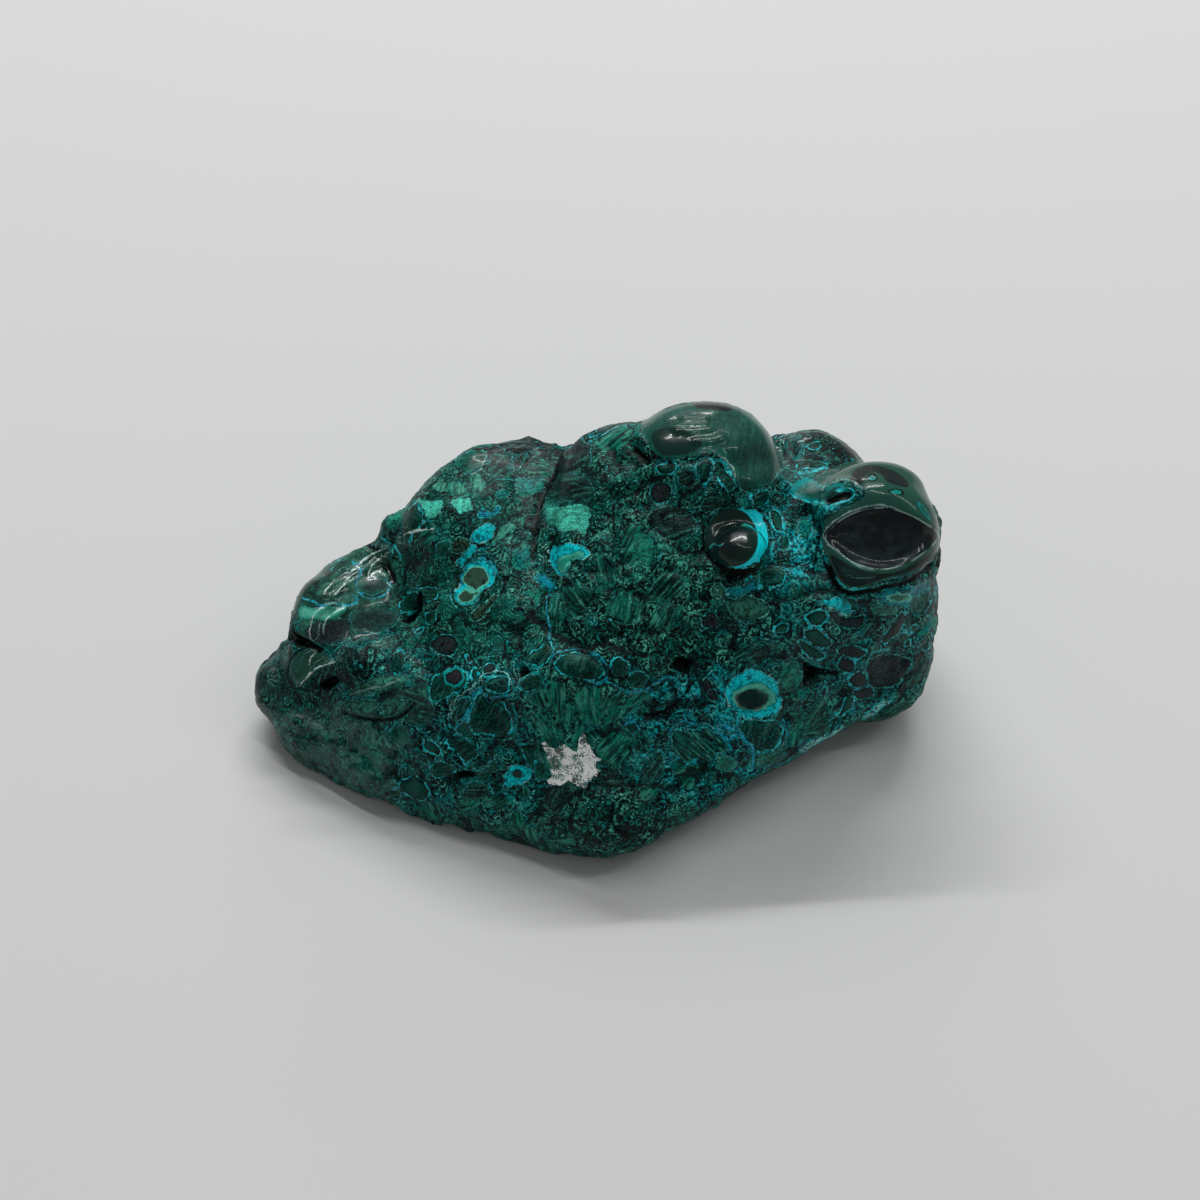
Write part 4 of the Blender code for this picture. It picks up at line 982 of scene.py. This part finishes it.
# ---------------------------------------------------------------- the relief and what the finish reads
def raise_relief(skin, growths, inlays, pupils, holes, creases):
    """Dome the growths, sink the veins, cracks and holes, and roughen the ground between them."""
    for layer in (growths, inlays, pupils):
        skin.polish = np.maximum(skin.polish, layer.numbers(GLOSS) * smooth(layer.edge, -0.3, 0.2))
    rough = 1.0 - skin.polish
    matt = smooth(rough, 0.25, 0.9)
    dome = growths.numbers(DOMING) * smooth(growths.edge, 0.0, 1.0) * np.minimum(growths.size / 1.5, 1.5)
    seam = SEAM_DEPTH * smooth(-np.abs(growths.edge), -0.45, 0.0)
    seam = seam + INLAY_SEAM_DEPTH * smooth(-np.abs(inlays.edge), -0.4, 0.0)
    ground = smooth(-growths.edge, 0.0, 0.8)
    ragged = 0.16 * cloud(skin.points, 0.9, SEED + 8) + 0.14 * cloud(skin.points, 2.2, SEED + 9)
    lumps = np.abs(cloud(skin.points, 5.0, SEED + 10))
    small_lumps = np.abs(cloud(skin.points, 2.6, SEED + 11))
    pits = 0.7 * smooth(-lumps, -0.2, 0.0) + 0.6 * smooth(-small_lumps, -0.18, 0.0)
    # Painted shade: how dark the low places between the lumps are painted.
    skin.hollow = matt * pits * smooth(-growths.edge, -1.2, 0.0)
    lift = (dome - seam) * (0.35 + 0.65 * rough) + ragged * (0.2 + 0.8 * ground) * rough
    coarse = matt * (0.4 + 0.6 * smooth(skin.points[:, 2], 3.0, 14.0))
    lift = lift + (0.8 * np.minimum(lumps, 0.7) + 0.4 * np.minimum(small_lumps, 0.6) - 0.3) * coarse
    pressed = np.where(pupils.kind == KIND_NAMES.index("almond"), smooth(pupils.edge, -0.4, 1.6), 0.0)
    lift = lift - creases - PUPIL_DEPTH * pressed - HOLE_DEPTH * smooth(holes.edge, -0.3, 0.8)
    skin.move(np.where(skin.points[:, 2] < FOOT, 0.0, lift))


def write_attributes(skin, growths, inlays, pupils, holes, veins, creases):
    """Store what the finish reads at each point of the skin."""
    numbers = {
        "edge": growths.edge,
        "ring": growths.ring,
        "inlay": inlays.edge,
        "inlay_ring": inlays.ring,
        "pupil": pupils.edge,
        # Below: the holes and deep creases painted black as shade, the painted glare, the painted reflection
        # haze and the painted shade of the low places.
        "hole": np.maximum(holes.edge, 1.2 * (creases - 0.35)),
        "splash": glare_edge(skin),
        "side": veins.side,
        "room": veins.room,
        "polish": skin.polish,
        "haze": skin.haze,
        "hollow": skin.hollow,
    }
    for name, values in numbers.items():
        made = skin.mesh.attributes.new(name, "FLOAT", "POINT")
        made.data.foreach_set("value", values.astype(np.float32))
    colours = {
        "core": (growths.colours(CORE), growths.numbers(BANDS)),
        "rim": (growths.colours(RIM), growths.numbers(FIBRES)),
        "vein": (growths.colours(VEIN), growths.numbers(WIDTH)),
        "inlay_core": (inlays.colours(CORE), inlays.numbers(MOTTLE)),
        "inlay_rim": (inlays.colours(RIM), 1.0),
        "inlay_vein": (inlays.colours(VEIN), inlays.numbers(WIDTH)),
        "pupil_core": (pupils.colours(CORE), pupils.numbers(WIDTH)),
        "thread": (veins.colours(CORE), growths.numbers(MOTTLE)),
        "dark": (skin.dark, skin.busy),
        "bright": (skin.bright, 1.0),
    }
    for name, (values, fourth) in colours.items():
        four = np.empty((skin.count, 4), np.float32)
        four[:, :3] = values
        four[:, 3] = fourth
        made = skin.mesh.attributes.new(name, "FLOAT_COLOR", "POINT")
        made.data.foreach_set("color", four.ravel())
    grain = skin.mesh.attributes.new("grain", "FLOAT_VECTOR", "POINT")
    grain.data.foreach_set("vector", growths.grain.astype(np.float32).ravel())


def grow_stone():
    """The whole stone: its skin, its growths, its relief and the attributes that its finish reads."""
    skin = Skin(smooth_skin())
    paint_ground(skin)
    growths = Layer(skin, GROWTH_REACH, WALL)
    growths.lay_outlines(GROWTHS)
    scatter(skin, growths, np.random.default_rng(SEED))
    inlays = drawn_layer(skin, INLAYS)
    pupils = drawn_layer(skin, PUPILS)
    holes = drawn_layer(skin, HOLES)
    veins = VeinsAndHighlightLines(skin, THREADS)
    creases = cut_creases(skin)
    raise_relief(skin, growths, inlays, pupils, holes, creases)
    write_attributes(skin, growths, inlays, pupils, holes, veins, creases)
    return skin.mesh


# ---------------------------------------------------------------- the finish
class Recipe:
    """A finish being mixed: each call adds one step and hands back what it gives."""

    def __init__(self, name):
        self.material = bpy.data.materials.new(name)
        self.material.use_nodes = True
        self.steps = self.material.node_tree.nodes

    def fill(self, step, inputs):
        """Give a step's inputs their plain values, or link them to amounts."""
        for key, value in inputs.items():
            if isinstance(value, Amount):
                self.material.node_tree.links.new(value.socket, step.inputs[key])
            else:
                step.inputs[key].default_value = value

    def finished(self, inputs):
        """The material, once its shader has been given these inputs."""
        self.fill(self.steps["Principled BSDF"], inputs)
        return self.material

    def add(self, kind, inputs, output=0, **settings):
        """Add a step with its settings and inputs, and hand back one of its outputs."""
        step = self.steps.new(kind)
        for key, value in settings.items():
            setattr(step, key, value)
        self.fill(step, inputs)
        return Amount(self, step.outputs[output])

    def work(self, operation, *values):
        """A sum, a product or another piece of arithmetic."""
        return self.add("ShaderNodeMath", dict(enumerate(values)), operation=operation)

    def mix(self, share, first, second):
        """One colour fading into another."""
        inputs = {MIX_SHARE: share, MIX_FIRST: first, MIX_SECOND: second}
        return self.add("ShaderNodeMix", inputs, MIX_RESULT, data_type="RGBA", clamp_factor=True)

    def stained(self, colour, *stains):
        """A colour with named tints laid over it one after another, each by its share."""
        for share, name in stains:
            colour = self.mix(share, colour, (*tint(name), 1.0))
        return colour

    def in_place(self):
        """Each place on the object itself, in metres."""
        return self.add("ShaderNodeTexCoord", {}, "Object")

    def noise(self, place, size, detail=2.0, roughness=0.5):
        """Soft noise from 0 to 1 whose lumps are as wide as size."""
        inputs = {"Vector": place, "Scale": 1.0 / size, "Detail": detail, "Roughness": roughness}
        return self.add("ShaderNodeTexNoise", inputs)

    def warped(self, place, size, strength):
        """A place pushed about by a coarse noise, in mm."""
        inputs = {"Vector": place, "Scale": 1.0 / size, "Detail": 1.0}
        push = self.add("ShaderNodeTexNoise", inputs, "Color")
        level = self.add("ShaderNodeVectorMath", {0: push, 1: (0.5, 0.5, 0.5)}, operation="SUBTRACT")
        scaled = self.add("ShaderNodeVectorMath", {0: level, "Scale": strength}, operation="SCALE")
        return self.add("ShaderNodeVectorMath", {0: place, 1: scaled}, operation="ADD")

    def step(self, value, low, high):
        """Rise softly from 0 at low to 1 at high."""
        inputs = {"Value": value, "From Min": low, "From Max": high}
        return self.add("ShaderNodeMapRange", inputs, interpolation_type="SMOOTHSTEP")

    def wave(self, value):
        """Rise from 0 to 1 and fall back again, once for each whole number of the value."""
        return self.work("PINGPONG", value, 0.5) * 2.0

    def read(self, name, output="Fac"):
        """An attribute of the skin: its number, or its Color, its Vector or the Alpha beside its colour."""
        return self.add("ShaderNodeAttribute", {}, output, attribute_name=name)


class Amount:
    """Something that varies over the skin, and adds and multiplies like a plain number."""

    def __init__(self, recipe, socket):
        self.recipe = recipe
        self.socket = socket

    def beside(self, output):
        """Another output of the same step."""
        return Amount(self.recipe, self.socket.node.outputs[output])

    def __add__(self, other):
        return self.recipe.work("ADD", self, other)

    def __sub__(self, other):
        return self.recipe.work("SUBTRACT", self, other)

    def __rsub__(self, other):
        return self.recipe.work("SUBTRACT", other, self)

    def __mul__(self, other):
        return self.recipe.work("MULTIPLY", self, other)

    def __abs__(self):
        return self.recipe.work("ABSOLUTE", self)

    __radd__ = __add__
    __rmul__ = __mul__


class StoneFinish(Recipe):
    """Malachite and chrysocolla with dark ore: the patterns that its coats share, and the coats."""

    def __init__(self):
        super().__init__("polished_stone")
        millimetres = {0: self.in_place(), "Scale": 1.0 / MM}
        self.place = self.add("ShaderNodeVectorMath", millimetres, operation="SCALE")
        self.curled = self.warped(self.warped(self.place, 2.6, 2.4), 0.9, 0.5)
        self.fine = self.noise(self.place, 0.5, detail=1.0)
        self.blot = self.noise(self.place, 2.4, detail=1.0)
        self.fleck = self.noise(self.place, 0.34, detail=1.0)
        self.mottle = self.noise(self.place, 1.2, roughness=0.6)
        self.maze = self.wave(self.noise(self.curled, 1.15) * 4.2)
        self.polish = self.read("polish")
        self.matt = 1.0 - self.polish
        self.bright = self.read("bright", "Color")
        grain = self.read("grain", "Vector")
        thin = self.add("ShaderNodeVectorMath", {0: grain, 1: FIBRE_STRETCH}, operation="MULTIPLY")
        self.fibre = self.noise(self.warped(thin, 1.2, 0.7), 1.0, roughness=0.6)
        self.blade = self.noise(thin, 3.0, detail=1.0)
        self.fibrous = self.read("rim", "Alpha")
        frayed = ((self.fibre - 0.5) * 2.0 + (self.blade - 0.5) * 3.0) * self.fibrous
        self.edge = self.read("edge") + frayed + self.ragged(0.5, 1.5) * self.matt

    def ragged(self, fine, coarse):
        """A push of some mm either way, from the fine and the coarse noise."""
        return (self.fine - 0.5) * fine + (self.mottle - 0.5) * coarse

    def ground(self):
        """Swirls of fine lines that flow round the growths, over a grain of bright and dark crumbs."""
        busy = self.read("dark", "Alpha")
        spots = self.add("ShaderNodeTexVoronoi", {"Vector": self.curled, "Scale": 1.0 / 3.4})
        share = self.add("ShaderNodeSeparateColor", {0: spots.beside("Color")})
        fold = self.wave(spots * 3.6 + self.noise(self.curled, 2.0) * 2.4 + self.edge * 0.6)
        patch = self.step(self.noise(self.curled, 1.7), 0.4, 0.64)
        tone = 0.08 + patch * 0.5 + share * share * 0.6
        ground = self.mix(tone, self.read("dark", "Color"), self.bright)
        deep = self.step(self.noise(self.curled, 4.5, detail=1.0), 0.5, 0.38)
        crumb = self.step(self.maze, 0.64, 0.92) * self.step(self.fleck, 0.45, 0.6)
        ground = self.mix(crumb * busy * 0.75, self.stained(ground, (deep * 0.6, "black")), self.bright)
        ground = self.stained(
            ground,
            (self.step(self.maze, 0.55, 0.3) * (busy * 0.8 + 0.15), "black"),
            (self.step(fold, 0.34, 0.08) * (busy * 0.7 + 0.2), "black"),
        )
        line = self.step(fold, 0.62, 0.9) * self.step(self.fine, 0.36, 0.52)
        lit = self.step(self.blot, 0.48, 0.62)
        glint = self.step(self.maze, 0.78, 0.95) * self.step(self.fleck, 0.53, 0.62) * (1.0 - deep)
        return self.stained(
            self.mix(line * busy, ground, self.bright),
            (crumb * self.step(self.blot, 0.42, 0.34) * busy * 0.7, "cyan"),
            (lit * (line * 0.85 + crumb * 0.5) * busy, "mint"),
            (glint * busy * 0.6, "ice"),
        )

    def growths(self, surface):
        """The growths: a core, a rim, bands that follow the outline and fibres that run along it."""
        rim = self.read("rim", "Color")
        ring = self.read("ring") + (self.mottle - 0.5) * 0.5 * self.matt
        fill = self.mix(self.step(ring, 0.4, 0.95), self.read("core", "Color"), rim)
        banding = self.read("core", "Alpha")
        band = self.wave(self.edge * 1.5 + self.mottle * 1.2)
        fill = self.stained(
            self.mix(self.step(band, 0.2, 0.8) * banding * 0.5, fill, rim),
            (self.step(band, 0.35, 0.05) * banding * 0.8, "black"),
            (self.step(self.blade, 0.5, 0.36) * self.fibrous * 0.6, "forest"),
            (self.step(abs(self.blade - 0.5), 0.04, 0.014) * self.fibrous, "black"),
            (self.step(self.fibre, 0.44, 0.37) * self.fibrous, "black"),
            (self.step(self.fibre, 0.52, 0.64) * self.fibrous * 0.6, "mint"),
        )
        mottled = self.read("thread", "Alpha")
        fill = self.stained(
            self.mix(self.step(self.fleck, 0.56, 0.66) * mottled * 0.7, fill, self.bright),
            (self.step(self.mottle, 0.48, 0.34) * mottled, "black"),
            (self.step(self.maze, 0.4, 0.1) * mottled * 1.4, "black"),
        )
        return self.mix(self.step(self.edge, -0.05, 0.05), surface, fill)

    def growth_veins(self, surface):
        """A dark seam round every growth, with a broken pale vein along it."""
        width = self.read("vein", "Alpha") * self.step(self.mottle, 0.3, 0.6)
        seam = self.step(width * 1.8 - abs(self.edge + 0.06), -0.06, 0.1) * 0.85
        vein = self.step(width * 0.7 - abs(self.edge), -0.05, 0.05) * self.step(self.mottle, 0.36, 0.46)
        vein_tint = self.stained(
            self.read("vein", "Color"),
            (0.75 - self.step(self.blot, 0.42, 0.6) * 0.75, "teal"),
            (self.step(self.fleck, 0.52, 0.64) * 0.45, "ice"),
            (self.step(self.maze, 0.5, 0.2) * 0.55, "forest"),
        )
        return self.mix(vein, self.stained(surface, (seam, "black")), vein_tint)

    def inlays(self, surface):
        """The inlays, which lie over the growths, each with its own vein along the outline."""
        inlay = self.read("inlay") + self.ragged(0.5, 1.2) * self.matt
        ring = self.step(self.read("inlay_ring"), 0.3, 0.95)
        fill = self.mix(ring, self.read("inlay_core", "Color"), self.read("inlay_rim", "Color"))
        speckled = self.read("inlay_core", "Alpha") * self.step(self.mottle, 0.5, 0.34)
        surface = self.mix(self.step(inlay, -0.05, 0.05), surface, self.stained(fill, (speckled, "black")))
        vein = self.step(self.read("inlay_vein", "Alpha") * 0.8 - abs(inlay), -0.05, 0.05)
        return self.mix(vein, surface, self.read("inlay_vein", "Color"))

    def pupils(self, surface):
        """The pupils: the matt ones have a dark socket line and the polished ones a painted highlight along
        the lip.
        """
        pupil = self.read("pupil") + self.ragged(0.5, 1.0) * self.matt
        fill = self.read("pupil_core", "Color")
        fill = self.stained(fill, (self.step(self.maze, 0.5, 0.2) * 0.8 * self.matt, "black"))
        socket = self.step(0.2 + (self.fibre - 0.5) * 0.6 - abs(pupil), -0.05, 0.08) * self.matt
        # A painted highlight along the lip of the polished pupils.
        lip_highlight = self.step(self.read("pupil_core", "Alpha") - abs(pupil + 0.05), -0.04, 0.06)
        return self.stained(
            self.mix(self.step(pupil, -0.05, 0.05), surface, fill),
            (socket, "black"),
            (lip_highlight * self.polish * self.step(self.blot, 0.35, 0.6), "sheen"),
        )

    def threads(self, surface):
        """The thin veins, which wander over all of the growths with a dark shade beside them, and the pale
        painted highlight lines.
        """
        wander = self.ragged(0.5, 0.9) * (self.matt * 0.4 + 0.6)
        room = self.read("room") * (0.35 + self.blot) - abs(self.read("side") + wander)
        thread = self.stained(
            self.read("thread", "Color"),
            (self.step(self.maze, 0.5, 0.2) * 0.7 * self.matt, "teal"),
            (self.step(self.mottle, 0.56, 0.4) * 0.75, "slate"),
            (self.step(self.fleck, 0.58, 0.68) * 0.5, "ice"),
        )
        surface = self.stained(surface, (self.step(room, -0.35, -0.1) * 0.6 * self.matt, "black"))
        return self.mix(self.step(room, -0.08, 0.08), surface, thread)

    def painted_shade_and_glare(self, surface, splash):
        """Painted shade makes the low places, holes and deep cracks black, a painted reflection lays a grey
        haze on the flanks, and the painted glare is pale.
        """
        hollow = self.step(self.read("hollow") + (self.mottle - 0.5) * 0.7 * self.matt, 0.2, 0.62)
        painted_reflection = self.read("haze") * self.step(self.noise(self.place, 2.0, detail=3.0), 0.35, 0.65)
        hole = self.step(self.read("hole") + self.ragged(0.6, 0.6), -0.05, 0.3)
        stains = (hollow * 0.85, "black"), (painted_reflection, "reflection_grey"), (hole, "black"), (splash, "glare_white")
        return self.stained(surface, *stains)

    def splash(self):
        """How much of the painted glare, a pale patch that stands in for a reflection, lies on each place.
        """
        inside = self.step(self.read("splash") + (self.mottle - 0.5) * 0.9, 0.0, 0.12)
        dusting = self.noise(self.place, 0.2, detail=1.0) + self.ragged(0.5, 0.5) + (self.blot - 0.5) * 1.1
        return inside * (self.step(dusting, 0.4, 0.55) * 0.9 + 0.1)


def polished_stone():
    """The finish of the stone: its coats from the ground up, then its gloss and its grit."""
    finish = StoneFinish()
    surface = finish.growth_veins(finish.growths(finish.ground()))
    surface = finish.threads(finish.pupils(finish.inlays(surface)))
    splash = finish.splash()
    height = (finish.fleck * 0.7 + finish.fine) * finish.matt
    grit = {"Strength": 0.7, "Distance": GRIT_HEIGHT * MM, "Height": height}
    return finish.finished({
        "Base Color": finish.painted_shade_and_glare(surface, splash),
        "Roughness": 0.46 - finish.polish * 0.2 + (finish.fine - 0.5) * 0.2,
        "Normal": finish.add("ShaderNodeBump", grit),
        "IOR": STONE_IOR,
        "Specular IOR Level": STONE_SHINE,
        "Coat Weight": finish.step(finish.polish, 0.5, 0.95) * (1.0 - splash) * COAT_SHARE,
        "Coat Roughness": COAT_ROUGHNESS,
    })


# ---------------------------------------------------------------- the table, the lights and the camera
def plain_table():
    """A wide pale sheet to stand on."""
    finish = Recipe("pale_table")
    clouds = finish.noise(finish.in_place(), TABLE_CLOUDS * MM)
    lighter = (*(TABLE_LIGHTER * part for part in TABLE_TINT), 1.0)
    shade = finish.mix(clouds, (*TABLE_TINT, 1.0), lighter)
    shape = bmesh.new()
    bmesh.ops.create_grid(shape, x_segments=1, y_segments=1, size=TABLE_SIZE * MM)
    mesh = bpy.data.meshes.new("table")
    shape.to_mesh(mesh)
    shape.free()
    inputs = {"Base Color": shade, "Roughness": TABLE_ROUGHNESS, "Specular IOR Level": TABLE_SHINE}
    mesh.materials.append(finish.finished(inputs))
    table = bpy.data.objects.new("table", mesh)
    bpy.context.scene.collection.objects.link(table)


def add_panel(name, direction, distance, size, power):
    """A soft light panel that faces the stone from one direction."""
    light = bpy.data.lights.new(name, "AREA")
    light.shape = "RECTANGLE"
    light.size, light.size_y = size[0] * MM, size[1] * MM
    light.energy = power
    panel = bpy.data.objects.new(name, light)
    middle = CAMERA_AIM * MM
    panel.location = middle + Vector(direction).normalized() * distance * MM
    panel.rotation_euler = (middle - panel.location).to_track_quat("-Z", "Y").to_euler()
    bpy.context.scene.collection.objects.link(panel)


def light_room():
    """Soft studio light: a pale room, a large panel behind the stone and narrow tubes that glint."""
    world = bpy.data.worlds.new("room")
    bpy.context.scene.world = world
    world.use_nodes = True
    room = world.node_tree.nodes["Background"]
    room.inputs["Color"].default_value = (*ROOM_TINT, 1.0)
    room.inputs["Strength"].default_value = ROOM_STRENGTH
    for name, (direction, distance, size, power) in PANELS.items():
        add_panel(name, direction, distance, size, power)


def place_camera():
    """A camera that looks down on the front of the stone."""
    camera = bpy.data.cameras.new("camera")
    camera.sensor_width = SENSOR_WIDTH
    camera.angle = math.radians(CAMERA_FIELD)
    camera.clip_start = CAMERA_NEAREST * MM
    holder = bpy.data.objects.new("camera", camera)
    turn = Matrix((RIGHT, UP, -LOOK)).transposed().to_4x4()
    holder.matrix_world = Matrix.Translation(CAMERA_PLACE * MM) @ turn
    bpy.context.scene.collection.objects.link(holder)
    bpy.context.scene.camera = holder


def build():
    """The one piece: the stone in its finish, in place of the plain solid."""
    mesh = grow_stone()
    mesh.name = "stone"
    mesh.materials.clear()
    mesh.materials.append(polished_stone())
    mesh.shade_smooth()
    stone = bpy.data.objects.new("stone", mesh)
    bpy.context.scene.collection.objects.link(stone)
    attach(stone, "root")
    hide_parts("specimen")


place_camera()
light_room()
plain_table()
build()
bpy.context.scene.view_settings.view_transform = "Standard"
